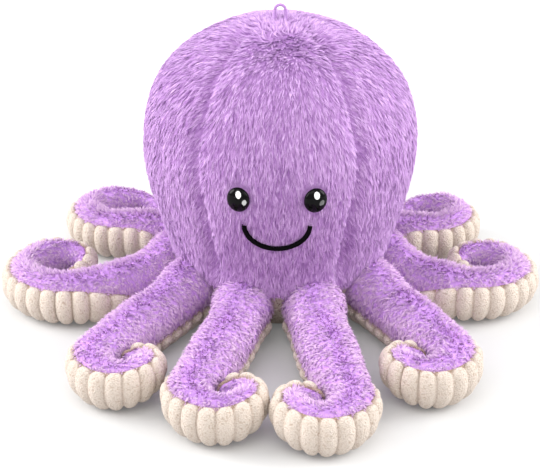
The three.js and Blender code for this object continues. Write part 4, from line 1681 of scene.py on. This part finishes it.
@dataclass(frozen=True)
class BaseBowl:
    """The knitted base: a flat disc and the bowl that rises from it to the hem.

    Attributes:
        corners: The bowl's corners before they are rounded, as shares of its reach and its height.
        crease_shade: How much painted shade darkens the seam's crease round the disc.
    """

    flat_radius: float = 46.0
    hem_radius: float = 74.0
    hem: float = 35.0
    middle_radius: float = 0.5
    corners: tuple[Pair, ...] = ((0.4, 0.14), (0.74, 0.46))
    lip: Pair = (0.2, 3.4)
    roundings: int = 3
    corner_cut: float = 0.25
    inset: float = 0.5
    thickness: float = 2.4
    fill: float = 0.9
    crease_shade: float = 0.7
    crease_out: float = 3.0
    crease_width: float = 1.4
    rings: int = 40
    sides: int = 120

    def outline(self, inset: float) -> list[Pair]:
        """The bowl's outline from the middle to the hem.

        Args:
            inset: How far it lies inside the outside.

        Returns:
            Radius and height of each point.
        """
        reach = self.hem_radius - self.flat_radius
        bowl = [(self.flat_radius + reach * out, self.hem * up) for out, up in self.corners]
        edge = (self.hem_radius + self.lip[0], self.hem + self.lip[1])
        corners = np.array([(self.middle_radius, 0), (self.flat_radius, 0), *bowl, edge])
        for _ in range(self.roundings):
            near = corners[:-1] * (1 - self.corner_cut) + corners[1:] * self.corner_cut
            far = corners[:-1] * self.corner_cut + corners[1:] * (1 - self.corner_cut)
            inner = np.stack([near, far], 1).reshape(-1, 2)
            corners = np.concatenate([corners[:1], inner, corners[-1:]])
        line = evened(corners, self.rings)
        slope = unit(np.gradient(line, axis=0))
        out, up = slope[:, 1], -slope[:, 0]
        return [(r - o * inset, z - u * inset) for (r, z), o, u in zip(line, out, up)]

    def build(self) -> None:
        """Builds the base."""
        outer = lathe(self.outline(self.inset), self.sides)
        inner = lathe(self.outline(self.inset + self.thickness), self.sides)
        stack = np.concatenate([outer, inner[::-1]]).reshape(-1, 3)
        quads = grid_quads(2 * self.rings, self.sides, wrap=True, close=True)
        # Painted shade: the crest mark dips at the seam round the disc, so the knit's fold colour darkens
        # it there.
        away = np.hypot(stack[:, 0], stack[:, 1]) - self.flat_radius - self.crease_out
        crest = 1 - self.crease_shade * np.exp(-((away / self.crease_width) ** 2))
        draft = Draft(stack, quads, marks={"crest": crest}).outward()
        bowl = draft.build("base_bowl", BASE_KNIT.material())
        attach(bowl, "head")
        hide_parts("head_base_panel")
        log.info("base")


@dataclass(frozen=True)
class HeadFilling:
    """Loose fibre in the head: the part's solid with a lumpy surface.

    Attributes:
        inset: How far it lies inside the solid.
        lump: How high its lumps are.
    """

    node: str = "head_stuffing"
    cell: float = 3.8
    inset: float = 3.0
    lump: float = 2.0
    lumps: SoftNoise = SoftNoise(21, 14, 0.5)

    def build(self) -> None:
        """Builds the filling."""
        piece = bpy.data.objects.new(f"{self.node}_fibre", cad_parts[self.node].data.copy())
        bpy.context.scene.collection.objects.link(piece)
        remesh = piece.modifiers.new("even", "REMESH")
        remesh.mode = "VOXEL"
        remesh.voxel_size = self.cell * MM
        graph = bpy.context.evaluated_depsgraph_get()
        piece.data = bpy.data.meshes.new_from_object(piece.evaluated_get(graph))
        piece.modifiers.clear()
        mesh = piece.data
        mesh.name = piece.name
        points, normals = np.zeros((2, len(mesh.vertices) * 3))
        mesh.vertices.foreach_get("co", points)
        mesh.vertices.foreach_get("normal", normals)
        points, normals = points.reshape(-1, 3) / MM, normals.reshape(-1, 3)
        depth = self.inset + self.lump * (0.5 + self.lumps.at(points))
        mesh.vertices.foreach_set("co", ((points - normals * depth[:, None]) * MM).ravel())
        mesh.polygons.foreach_set("use_smooth", np.ones(len(mesh.polygons), bool))
        mesh.materials.clear()
        mesh.materials.append(FIBRE.material())
        mesh.update()
        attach(piece, "head")
        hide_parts(self.node)
        log.info("head filling")


@dataclass(frozen=True)
class Head:
    """The stuffed head: its panels, face, base, filling and loop."""

    pile: Pile = Pile(
        seed=101, locks=42, fibres=4, width=0.46, spread=0.62, gather=0.55, droop=7, stray=9, wild=5,
        mottle=0.24, fleck=0.14, facing=0.66,
    )
    seams: tuple[tuple[str, float, float, int], ...] = (
        ("head_face_panel", -32, 32, 48),
        ("head_side_panel_right", 32, 106, 44),
        ("head_back_panel_right", 106, 180, 44),
        ("head_back_panel_left", -180, -106, 44),
        ("head_side_panel_left", -106, -32, 44),
    )

    def build(self) -> None:
        """Builds the head."""
        smile = Smile()
        eyes = [SafetyEye(side) for side in Side]
        face: list[Keepout] = [eye.spot() for eye in eyes] + [StitchLine(smile.line(), smile.room)]
        for index, (name, start, stop, columns) in enumerate(self.seams):
            clear = face if "face" in name else []
            lay = Lay.AWAY if "side" in name else Lay.OVER
            HeadPanel(name, start, stop, columns, lay).build(self.pile, clear, index)
        for eye in eyes:
            eye.build()
        smile.build()
        BaseBowl().build()
        HangingLoop().build()
        HeadFilling().build()


# Tentacles


@dataclass(frozen=True)
class TentacleSize:
    """The sizes that all tentacles share, as in the part's drawing."""

    half_width: float = 22.0
    half_height: float = 20.6
    shaft: float = 104.0
    rib_pitch: float = 12.0
    rib_steps: int = 8
    rib_height: float = 1.9
    floor_gap: float = 0.4
    tip_lift: float = 7.0
    tip_lift_start: float = 0.72
    curl_mean: float = 0.8
    half_angle: float = 72.0
    flat_places: tuple[float, ...] = (0.05, 0.25, 0.5, 0.75)
    curl_twist: float = 58.0
    twist_length: float = 0.75
    hinge_radius: float = 74.5
    widths: tuple[Pair, ...] = (
        (0, 0.923), (0.3, 1), (0.58, 0.86), (0.82, 0.66), (1, 0.32), (1.1, 0.22),
    )
    heights: tuple[Pair, ...] = (
        (0, 0.985), (0.3, 1), (0.58, 0.92), (0.82, 0.78), (1, 0.42), (1.1, 0.3),
    )

    def at(self, place: float, flat: Pair) -> Triple:
        """The section at a place along the tentacle.

        Args:
            place: From 0 at the root to 1.
            flat: The section's height over the usual one, along the shaft and at the curl's far side.

        Returns:
            Half the width, half the height and the middle's height.
        """
        near, far = flat
        wide = float(np.interp(place, *zip(*self.widths))) * self.half_width
        high = float(np.interp(place, *zip(*self.heights))) * self.half_height
        high *= float(np.interp(place, self.flat_places, (1, near, near, far)))
        lift = self.tip_lift * float(smooth(np.array(place), self.tip_lift_start, 1))
        return wide, high, high + self.rib_height + self.floor_gap + lift


@dataclass(frozen=True)
class TentacleNap:
    """How a tentacle's pile is combed: parted along the top, and out and down to each side.

    Attributes:
        turn: How far from the parting the pile has turned to its side.
        along: How much it points along the tentacle, and how much less beside the parting.
        curled: The ribs' twists over which it takes the curl's lie.
        thin_length: The share of the length that is left where the tentacle is thinnest.
    """

    wander: SoftNoise = SoftNoise(43, 30, 10)
    turn: float = 26.0
    sideways: float = 1.1
    along: Pair = (0.55, 0.3)
    near: float = 30.0
    curled: Pair = (10.0, 50.0)
    lift: float = 26.0
    near_lift: float = 20.0
    curl_lift: float = 12.0
    length: float = 4.7
    length_wave: SoftNoise = SoftNoise(45, 12, 0.5)
    thin_length: float = 0.5
    border: Pair = (84.0, 106.0)
    border_trim: float = 0.1
    tone_wave: SoftNoise = SoftNoise(44, 15, 0.12)
    # parting_shade is painted shade in the parting along the top.
    parting_shade: float = 0.08

    def on(
        self, points: Array, angles: Array, twist: Array, slim: Array, outward: Array, along: Array
    ) -> Skin:
        """Combs the pile on a cover.

        Args:
            points: The cover's outside, as rows, columns, 3.
            angles: Round the section from the underside's middle.
            twist: How far each row is turned.
            slim: How wide each row is, as a share.
            outward: The way that each point faces.
            along: The way along at each row.

        Returns:
            The cover's skin.
        """
        parting = angles + twist - 180 + self.wander.at(points)
        away = np.tanh(parting / self.turn)[..., None]
        comb = unit(np.gradient(points, axis=1)) * away * self.sideways
        near = np.exp(-((parting / self.near) ** 2))
        curled = smooth(twist, *self.curled)
        length = self.length + self.length_wave.at(points)
        length = length * between(self.thin_length, 1, slim)
        border = smooth(np.abs(angles - 180), *self.border)
        # Painted shade: the pile is darker along the parting, where it opens, and less so on the curl.
        return Skin(
            points=points,
            outward=outward,
            comb=comb + along[:, None] * (self.along[0] - self.along[1] * np.abs(away)),
            lift=self.lift + self.near_lift * near + self.curl_lift * curled,
            length=length * (1 - self.border_trim * border),
            tone=self.tone_wave.at(points) - self.parting_shade * near * (1 - curled),
        )


@dataclass(frozen=True)
class Tentacle:
    """One stuffed tentacle: a furry cover over the top and a ribbed knit underside.

    Spans are shares of the way from the root to the tip.

    Attributes:
        shaft_share: Of the common shaft's length.
        hollow: The curl's hollow at its start and end, as shares of the half width.
        flat: The section's height over the usual one, along the shaft and at the curl's far side.
        rest: A straight stretch in the curl: the degrees turned before it, and its length.
        tuck: How much further the soft tip turns in than the part's solid.
        twist_start: The share of the shaft at which the ribs begin to turn outwards.
        tip_twist: How much further they turn towards the tip.
        root_rounds: The first and last angle of the round root, and how many rows it has.
        root_full: How much wider the sewn root is, within root_reach of its start.
        root_rise: How much higher it is, up to rise_reach times as far.
        lumps: The seed, size and height of the filling's lumps in it.
        hinge_span: How far behind and in front of the hinge bend_on works out two ends, which nothing
            uses.
    """

    name: str
    side: Side
    root: float
    lead: float
    bend: float
    shaft_share: float
    hollow: Pair
    seed: int
    curl: Curl = Curl.FORWARD
    turn: float = 262.0
    bends: Bend = Bend.EVEN
    flat: Pair = (1.0, 1.0)
    rest: Pair = (0.0, 0.0)
    tuck: float = 52.0
    twist_start: float = 0.55
    tip_twist: float = 50.0
    tip_twists: tuple[Triple, ...] = ((0.3, 0.6, 0.85), (0.7, 0.86, 1.0))
    girth: float = 0.98
    size: TentacleSize = TentacleSize()
    root_rounds: tuple[float, float, int] = (18.0, 84.0, 9)
    tip_rounds: tuple[float, float, int] = (99.0, 176.0, 11)
    root_reach: float = 24.0
    root_full: float = 0.14
    root_lobe: float = 0.12
    root_rise: float = 0.18
    rise_start: float = 4.0
    rise_reach: float = 1.6
    rise_rounds: Pair = (40.0, 84.0)
    tip_rise: float = 3.0
    tip_rise_span: Pair = (0.72, 0.95)
    tip_full: float = 0.12
    tip_full_span: Pair = (0.82, 0.97)
    slim: float = 0.06
    slim_start: Pair = (0.3, 0.5)
    slim_end: Pair = (0.75, 0.95)
    skin_inset: float = 2.4
    overlap: float = 1.0
    edge_dip: float = 0.4
    edge_width: float = 7.0
    lumps: tuple[int, float, float] = (41, 17.0, 0.5)
    lining: float = 2.4
    groove: float = 2.5
    crest: float = 2.2
    rib_end: float = 0.4
    rib_round: float = 2.2
    rib_slim: float = 0.45
    rib_overlap: float = 1.5
    fluff: tuple[SoftNoise, ...] = (SoftNoise(61, 1.5, 0.16), SoftNoise(62, 7, 0.3))
    fill_gap: float = 0.5
    fill_lump: float = 1.0
    fill_reach: float = 0.9
    fill_lumps: SoftNoise = SoftNoise(21, 9, 0.5)
    steps: Triple = (2.0, 1.2, 3.0)
    columns: tuple[int, int, int] = (54, 42, 33)
    hinge_span: Pair = (6.0, 34.0)
    fills: Triple = (0.8, 0.8, 1.0)
    nap: TentacleNap = TentacleNap()
    pile: Pile = Pile(
        seed=501, locks=50, fibres=4, width=0.42, spread=0.66, gather=0.5, droop=12, stray=30, wild=12,
        mottle=0.2, fleck=0.14, facing=0.6,
    )

    @property
    def body(self) -> str:
        """The part's body that it rides on."""
        return f"tentacle_{self.name}"

    def hinge(self) -> Array:
        """The middle of the root.

        Returns:
            x, y, z.
        """
        turn = math.radians(self.root)
        reach = self.size.hinge_radius
        height = self.size.at(0, self.flat)[2]
        return np.array([self.side.value * reach * math.sin(turn), -reach * math.cos(turn), height])

    def path(self) -> dict[str, Array]:
        """Walks the middle line: a shaft with its bend, then a curl that closes in.

        Returns:
            x, y, z, wide, high, heading, twist, length and ribs at each step.
        """
        size, step = self.size, self.size.rib_pitch / self.size.rib_steps
        shaft = size.shaft * self.shaft_share
        start, end = (share * size.half_width for share in self.hollow)
        mean = size.half_width * size.curl_mean + (start + end) / 2
        rest_turn, rest_length = self.rest
        total = shaft + math.radians(self.turn) * mean + rest_length
        x, y, _ = self.hinge()
        heading, turned, rested, length, ribs = self.root + self.lead, 0.0, 0.0, 0.0, 0.0
        rows = []
        while turned < self.turn + self.tuck:
            wide, high, z = size.at(length / total, self.flat)
            place = (length / shaft - self.twist_start) / size.twist_length
            twist = size.curl_twist * float(smooth(np.array(place), 0, 1))
            rows.append((x, y, z, wide, high, heading, twist, length, ribs))
            resting = turned >= rest_turn and rested < rest_length
            curling = length >= shaft and not resting
            radius = wide + start + (end - start) * min(1, turned / self.turn)
            turn = math.degrees(step / radius) if curling else 0.0
            bent = self.bends.share(length / shaft)
            length += step
            heading += self.curl.value * turn + self.bend * (self.bends.share(length / shaft) - bent)
            turned += turn
            rested += step if resting and length >= shaft else 0.0
            ribs += step * (1 + wide * math.sin(math.radians(twist)) / radius if curling else 1)
            x += self.side.value * step * math.sin(math.radians(heading))
            y -= step * math.cos(math.radians(heading))
        names = ("x", "y", "z", "wide", "high", "heading", "twist", "length", "ribs")
        return dict(zip(names, np.array(rows).T))

    def rows(self, step: float) -> dict[str, Array]:
        """The rows of the skin: the round root, the middle line and the round tip.

        Args:
            step: How far apart the rows are along the underside.

        Returns:
            The path's values at each row, with round, 90 where the section is whole.
        """
        path = self.path()
        end = path["ribs"][-1]
        count = int(end / step)
        root, tip = np.linspace(*self.root_rounds), np.linspace(*self.tip_rounds)
        places = np.concatenate([np.zeros(len(root)), np.linspace(0, end, count), np.full(len(tip), end)])
        rows = {name: np.interp(places, path["ribs"], values) for name, values in path.items()}
        length, share = rows["length"], rows["length"] / path["length"][-1]
        rows["round"] = np.concatenate([root, np.full(count, 90.0), tip])
        rise = self.root_rise * (1 - smooth(length, self.rise_start, self.rise_reach * self.root_reach))
        rise *= np.where(length > 0, 1, smooth(rows["round"], *self.rise_rounds))
        rows["z"] += rows["high"] * rise + self.tip_rise * smooth(share, *self.tip_rise_span)
        rows["high"] *= 1 + rise
        sewn = 1 - smooth(length, 0, self.root_reach)
        full = 1 + self.root_full * sewn + self.tip_full * smooth(share, *self.tip_full_span)
        slim = smooth(share, *self.slim_start) * (1 - smooth(share, *self.slim_end))
        rows["wide"] = rows["wide"] * (full * self.girth) * (1 - self.slim * slim)
        turned = sum(part * smooth(share, low, high) for part, low, high in self.tip_twists)
        rows["twist"] += self.tip_twist * turned
        rows["ribs"] = rows["ribs"] / path["ribs"][-1] * round(path["ribs"][-1] / self.size.rib_pitch)
        return rows

    def fan(self, rows: dict[str, Array], low: float, high: float, count: int) -> Array:
        """Angles round the section from low to high, the same for each row."""
        return np.tile(np.linspace(low, high, count), (len(rows["x"]), 1))

    def ways(self, rows: dict[str, Array]) -> tuple[Array, Array]:
        """The ways along and outwards at each row.

        Args:
            rows: The rows.

        Returns:
            A level way along for each row, and one outwards.
        """
        turn = np.radians(rows["heading"])
        along = np.stack([self.side.value * np.sin(turn), -np.cos(turn), 0 * turn], -1)
        outward = np.stack([along[:, 1], -along[:, 0], 0 * turn], -1)
        return along, outward * self.side.value * self.curl.value

    def middle(self, rows: dict[str, Array]) -> Array:
        """The middle line at each row."""
        return np.stack([rows["x"], rows["y"], rows["z"]], -1)[:, None]

    def surface(self, rows: dict[str, Array], angles: Array, inset: Array | float) -> Array:
        """Points of the skin.

        Args:
            rows: The rows.
            angles: Round the section, for each row and column: 0 is the underside's middle.
            inset: How far in they lie, for each row and column or for all.

        Returns:
            Rows, columns, 3.
        """
        along, outward = self.ways(rows)
        at = np.radians(angles + rows["twist"][:, None])
        ring = np.sin(np.radians(rows["round"]))[:, None]
        ahead = -np.cos(np.radians(rows["round"]))[:, None]
        wide, high = rows["wide"][:, None], rows["high"][:, None]
        lobe = self.root_lobe * (1 - smooth(rows["length"], 0, self.root_reach))[:, None]
        across = (wide - inset) * ring * np.sin(at) * (1 + lobe * np.clip(np.sin(at), 0, 1))
        up = -(high - inset) * ring * np.cos(at)
        return (
            self.middle(rows)
            + along[:, None] * ((wide - inset) * ahead)[..., None]
            + outward[:, None] * across[..., None]
            + UP * up[..., None]
        )

    def cover(self) -> tuple[Skin, Array]:
        """The furry cover's skin and its lining.

        Returns:
            The skin with its pile's lie, and the points of the lining.
        """
        rows = self.rows(self.steps[0])
        edge = self.size.half_angle - self.overlap
        angles = self.fan(rows, edge, 360 - edge, self.columns[0])
        seed, size, height = self.lumps
        plain = self.surface(rows, angles, self.skin_inset)
        bulge = SoftNoise(seed + self.seed, size, height).at(plain)
        from_edge = np.abs(angles - 180) - (180 - self.size.half_angle)
        inset = self.skin_inset + bulge + self.edge_dip * np.exp(-((from_edge / self.edge_width) ** 2))
        points = self.surface(rows, angles, inset)
        skin = self.nap.on(
            points,
            angles,
            twist=rows["twist"][:, None],
            slim=np.minimum(1, rows["wide"][:, None] / self.size.half_width),
            outward=unit(points - self.middle(rows)),
            along=self.ways(rows)[0],
        )
        return skin, self.surface(rows, angles, self.skin_inset + self.lining)

    def underside(self) -> tuple[Array, Array, Array]:
        """The ribbed underside.

        Returns:
            Its outer points, its lining and how high each point is on its rib, from 0 to 1.
        """
        rows = self.rows(self.steps[1])
        half = self.size.half_angle + self.rib_overlap
        angles = self.fan(rows, -half, half, self.columns[1])
        phase = (rows["ribs"] % 1)[:, None] * 2 - 1
        from_end = (half - np.abs(angles)) * np.pi / 180 * rows["wide"][:, None]
        end = np.clip(1 - from_end / (self.size.rib_pitch * self.rib_end), 0, 1)
        crest = np.sqrt(np.clip(1 - phase**2 - end**self.rib_round, 0, 1))
        plain = self.surface(rows, angles, 0.0)
        fluff = sum(noise.at(plain) for noise in self.fluff)
        height = (self.crest + self.groove) * crest - self.groove + fluff * (crest - 1)
        slim = between(self.rib_slim, 1, rows["wide"] / self.size.half_width)[:, None]
        outer = self.surface(rows, angles, -height * slim)
        return outer, self.surface(rows, angles, self.groove + self.lining), crest

    def filling(self) -> Draft:
        """The loose fibre in the covers, with a lumpy surface.

        Returns:
            A closed draft.
        """
        rows = self.rows(self.steps[2])
        angles = self.fan(rows, 0, 360, self.columns[2])[:, :-1]
        depth = self.groove + self.lining + self.fill_gap
        plain = self.surface(rows, angles, depth)
        lumps = depth + self.fill_lump * (0.5 + self.fill_lumps.at(plain))
        reach = self.fill_reach * np.minimum(rows["wide"], rows["high"])[:, None]
        return tube(self.surface(rows, angles, np.minimum(lumps, reach)))

    def bend_on(self, piece: bpy.types.Object) -> None:
        """Bakes a piece's place into its mesh.

        Args:
            piece: The piece, its mesh final.
        """
        along, _ = self.ways(self.path())
        start = self.hinge() - along[0] * self.hinge_span[0]
        end = self.hinge() + along[0] * self.hinge_span[1]
        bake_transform(piece)

    def build(self) -> None:
        """Builds the tentacle."""
        skin, lining = self.cover()
        cover = shell(skin.points, lining).build(f"{self.body}_plush", TENTACLE_BACKING.material())
        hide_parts(f"{self.body}_top_cover")
        self.bend_on(cover)
        fur = self.pile.grow(skin, [], self.seed).build(f"{self.body}_pile", TENTACLE_PILE.material())
        self.bend_on(fur)
        outer, inner, crest = self.underside()
        # The crest mark gives the ribs painted shade in their folds.
        knit = shell(outer, inner, {"crest": crest}).build(f"{self.body}_ribs", RIB_KNIT.material())
        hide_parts(f"{self.body}_ribbed_underside")
        self.bend_on(knit)
        filling = self.filling().build(f"{self.body}_fibre", FIBRE.material())
        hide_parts(f"{self.body}_stuffing")
        self.bend_on(filling)
        log.info("%s: %d fibres", self.body, len(fur.data.vertices) // 5)


# How the side and the rear tentacles differ from the front ones.
SIDEWAYS = {"curl": Curl.BACKWARD, "bends": Bend.LATE, "tuck": 95, "twist_start": 0.4, "tip_twist": 72}
REARWARD = {"curl": Curl.BACKWARD, "turn": 205, "tuck": 60, "twist_start": 0.12, "tip_twist": -24}
TENTACLES = (
    Tentacle("front_left", Side.LEFT, 19.8, -5.6, 6.5, 1.0, (0.22, 0.02), 1, girth=0.95),
    Tentacle("fore_left", Side.LEFT, 57, -23.2, -0.5, 0.985, (0.19, 0.02), 2, girth=0.96),
    Tentacle(
        "side_left", Side.LEFT, 96.5, -62, 38, 0.79, (0.86, 0.22), 3, flat=(0.92, 1), **SIDEWAYS,
    ),
    Tentacle(
        "rear_left", Side.LEFT, 142, -54, 9, 0.76, (0.42, 0.44), 4,
        flat=(0.91, 1), rest=(165, 8), **REARWARD,
    ),
    Tentacle("front_right", Side.RIGHT, 17.8, -10.3, 6, 1.1, (0.22, 0.02), 5),
    Tentacle("fore_right", Side.RIGHT, 56.8, -24.5, -3.5, 0.925, (0.21, 0.02), 6),
    Tentacle(
        "side_right", Side.RIGHT, 95.5, -62, 37, 0.655, (0.73, 0.18), 7, flat=(0.92, 0.95), **SIDEWAYS,
    ),
    Tentacle(
        "rear_right", Side.RIGHT, 141, -54, 7, 0.685, (0.22, 0.26), 8,
        flat=(0.89, 1), rest=(165, 6), **REARWARD,
    ),
)


# Studio


def stood(name: str, data: bpy.types.ID, place: Vector, way: Vector) -> bpy.types.Object:
    """Puts a lamp or a camera into the scene.

    Args:
        name: Its name.
        data: The lamp or the camera.
        place: Where it stands, in metres.
        way: The way to it from what it looks at.

    Returns:
        The new object.
    """
    holder = bpy.data.objects.new(name, data)
    bpy.context.scene.collection.objects.link(holder)
    holder.location = place
    holder.rotation_mode = "QUATERNION"
    holder.rotation_quaternion = (-way).to_track_quat("-Z", "Y")
    return holder


@dataclass(frozen=True)
class Lamp:
    """An oval lamp that the camera doesn't see. Lengths are in metres, and the power in watts."""

    name: str
    width: float
    height: float
    power: float

    def hang(self, place: Vector, way: Vector) -> bpy.types.Object:
        """Puts the lamp into the scene.

        Args:
            place: Where it hangs.
            way: The way to it from what it looks at.

        Returns:
            The new lamp.
        """
        lamp = bpy.data.lights.new(self.name, "AREA")
        lamp.shape = "ELLIPSE"
        lamp.size, lamp.size_y = self.width, self.height
        lamp.energy = self.power
        holder = stood(self.name, lamp, place, way)
        holder.visible_camera = False
        return holder


@dataclass(frozen=True)
class Softbox(Lamp):
    """A studio lamp. Its azimuth goes from the front towards the viewer's right."""

    azimuth: float
    elevation: float
    distance: float
    target: Triple = (0.0, -0.03, 0.1)

    def build(self) -> None:
        """Puts the lamp into the scene."""
        turn, rise = math.radians(self.azimuth), math.radians(self.elevation)
        level = math.cos(rise)
        way = Vector((math.sin(turn) * level, -math.cos(turn) * level, math.sin(rise)))
        self.hang(Vector(self.target) + way * self.distance, way)


@dataclass(frozen=True)
class Glint(Lamp):
    """A lamp that shows as a highlight at a chosen place of one eye, and lights nothing else.

    Attributes:
        across: The place, as a share of the eye's half width towards the viewer's right.
        up: The place, as a share of its half height.
    """

    side: Side
    across: float
    up: float
    distance: float = 0.12

    def build(self, camera: Vector) -> None:
        """Puts the lamp where the camera sees it in the eye.

        Args:
            camera: Where the camera is.
        """
        eye = SafetyEye(self.side)
        centre, across, up, look = eye.axes()
        rise = math.sqrt(1 - self.across**2 - self.up**2)
        dome = eye.dome - eye.rim
        spot = centre + across * self.across * eye.half_width + up * self.up * eye.half_height
        spot = Vector((spot + look * (eye.gap + eye.rim + dome * rise)) * MM)
        slant = across * self.across / eye.half_width + up * self.up / eye.half_height
        facing = Vector(slant + look * rise / dome).normalized()
        seen = (camera - spot).normalized()
        way = (facing * (2 * facing.dot(seen)) - seen).normalized()
        holder = self.hang(spot + way * self.distance, way)
        holder.visible_diffuse = False
        lit = bpy.data.collections.new(self.name)
        lit.objects.link(bpy.data.objects[f"eye_{self.side.name.lower()}_bead"])
        holder.light_linking.receiver_collection = lit


@dataclass(frozen=True)
class Studio:
    """The pale floor, the soft light and the camera. Lengths are in metres, but the lens's in mm.

    Attributes:
        floor_lift: How much lighter the camera sees the floor beside the octopus.
    """

    ambient: float = 0.75
    floor_tone: float = 0.62
    floor_lift: float = 0.1
    floor_clear: float = 0.62
    floor_size: float = 8.0
    pitch: float = 26.0
    distance: float = 1.1
    aim: Triple = (-0.007, 0.0, 0.0472)
    lens: float = 100.2
    film_width: float = 36.0
    clip: Pair = (0.05, 50)
    lamps: tuple[Softbox, ...] = (
        Softbox("key", 1.3, 1.1, 7.6, azimuth=-24, elevation=52, distance=1.5),
        Softbox("fill", 1.2, 1.2, 4.2, azimuth=40, elevation=36, distance=1.6),
        Softbox("rim_left", 1.1, 1.1, 22.5, azimuth=-92, elevation=26, distance=1.5),
        Softbox("rim_right", 1.1, 1.1, 20.0, azimuth=92, elevation=26, distance=1.5),
    )
    glints: tuple[Glint, ...] = (
        Glint("window_left", 0.085, 0.14, 4.2, Side.LEFT, across=0.14, up=0.68),
        Glint("window_right", 0.085, 0.14, 4.2, Side.RIGHT, across=0.0, up=0.68),
        Glint("spark_left", 0.085, 0.075, 1.0, Side.LEFT, across=0.68, up=-0.02),
        Glint("spark_right", 0.07, 0.06, 0.16, Side.RIGHT, across=0.46, up=-0.04),
    )

    def build(self) -> None:
        """Builds the studio."""
        self.world()
        self.floor()
        self.camera()
        for lamp in self.lamps:
            lamp.build()
        for glint in self.glints:
            glint.build(bpy.context.scene.camera.location)
        bpy.context.scene.view_settings.view_transform = "Standard"
        log.info("studio")

    def world(self) -> None:
        """Lights the scene evenly from all round, and shows white behind it."""
        world = bpy.data.worlds.new("studio_world")
        bpy.context.scene.world = world
        world.use_nodes = True
        sheet = NodeSheet(world.node_tree)
        rays = sheet.node("ShaderNodeLightPath").outputs
        clear = sheet.sum("MAXIMUM", rays["Is Camera Ray"], rays["Is Transmission Ray"])
        level = sheet.node("ShaderNodeMapRange", Value=clear, To_Min=self.ambient, To_Max=1.0)
        strength = level.outputs["Result"]
        back = sheet.node("ShaderNodeBackground", Color=WHITE, Strength=strength)
        sheet.node("ShaderNodeOutputWorld", Surface=back.outputs["Background"])

    def floor(self) -> None:
        """Lays the floor. For the camera it glows, faintly beside the octopus and fully further off, so
        that it looks white but for the octopus's shadow.
        """
        half = self.floor_size / 2 / MM
        points = np.array([(-half, -half, 0), (half, -half, 0), (half, half, 0), (-half, half, 0)], float)
        material = bpy.data.materials.new("studio_floor")
        material.use_nodes = True
        sheet = NodeSheet(material.node_tree)
        away = sheet.node("ShaderNodeVectorMath", {"operation": "LENGTH"})
        sheet.feed(away.inputs[0], sheet.node("ShaderNodeTexCoord").outputs["Object"])
        lift = sheet.node(
            "ShaderNodeMapRange",
            Value=away.outputs["Value"],
            From_Min=self.floor_clear / 3,
            From_Max=self.floor_clear,
            To_Min=self.floor_lift,
            To_Max=1.0,
        )
        seen = sheet.node("ShaderNodeLightPath").outputs["Is Camera Ray"]
        glow = sheet.sum("MULTIPLY", seen, lift.outputs["Result"])
        tone = (self.floor_tone, self.floor_tone, self.floor_tone, 1)
        both = sheet.node("ShaderNodeAddShader")
        sheet.feed(both.inputs[0], sheet.node("ShaderNodeBsdfDiffuse", Color=tone).outputs[0])
        sheet.feed(both.inputs[1], sheet.node("ShaderNodeEmission", Strength=glow).outputs[0])
        sheet.node("ShaderNodeOutputMaterial", Surface=both.outputs[0])
        floor = Draft(points, np.array([[0, 1, 2, 3]])).build("studio_floor", material)

    def camera(self) -> None:
        """Sets the camera at the photograph's angle."""
        lens = bpy.data.cameras.new("camera")
        lens.lens = self.lens
        lens.sensor_width = self.film_width
        lens.clip_start, lens.clip_end = self.clip
        rise = math.radians(self.pitch)
        back = Vector((0.0, -math.cos(rise), math.sin(rise)))
        place = Vector(self.aim) + back * self.distance
        bpy.context.scene.camera = stood("camera", lens, place, back)


def main() -> None:
    """Builds the octopus and the studio, in order."""
    logging.basicConfig(level=logging.INFO, format="%(name)s: %(message)s")
    Head().build()
    Studio().build()
    for tentacle in TENTACLES:
        tentacle.build()


if __name__ == "__main__":
    main()
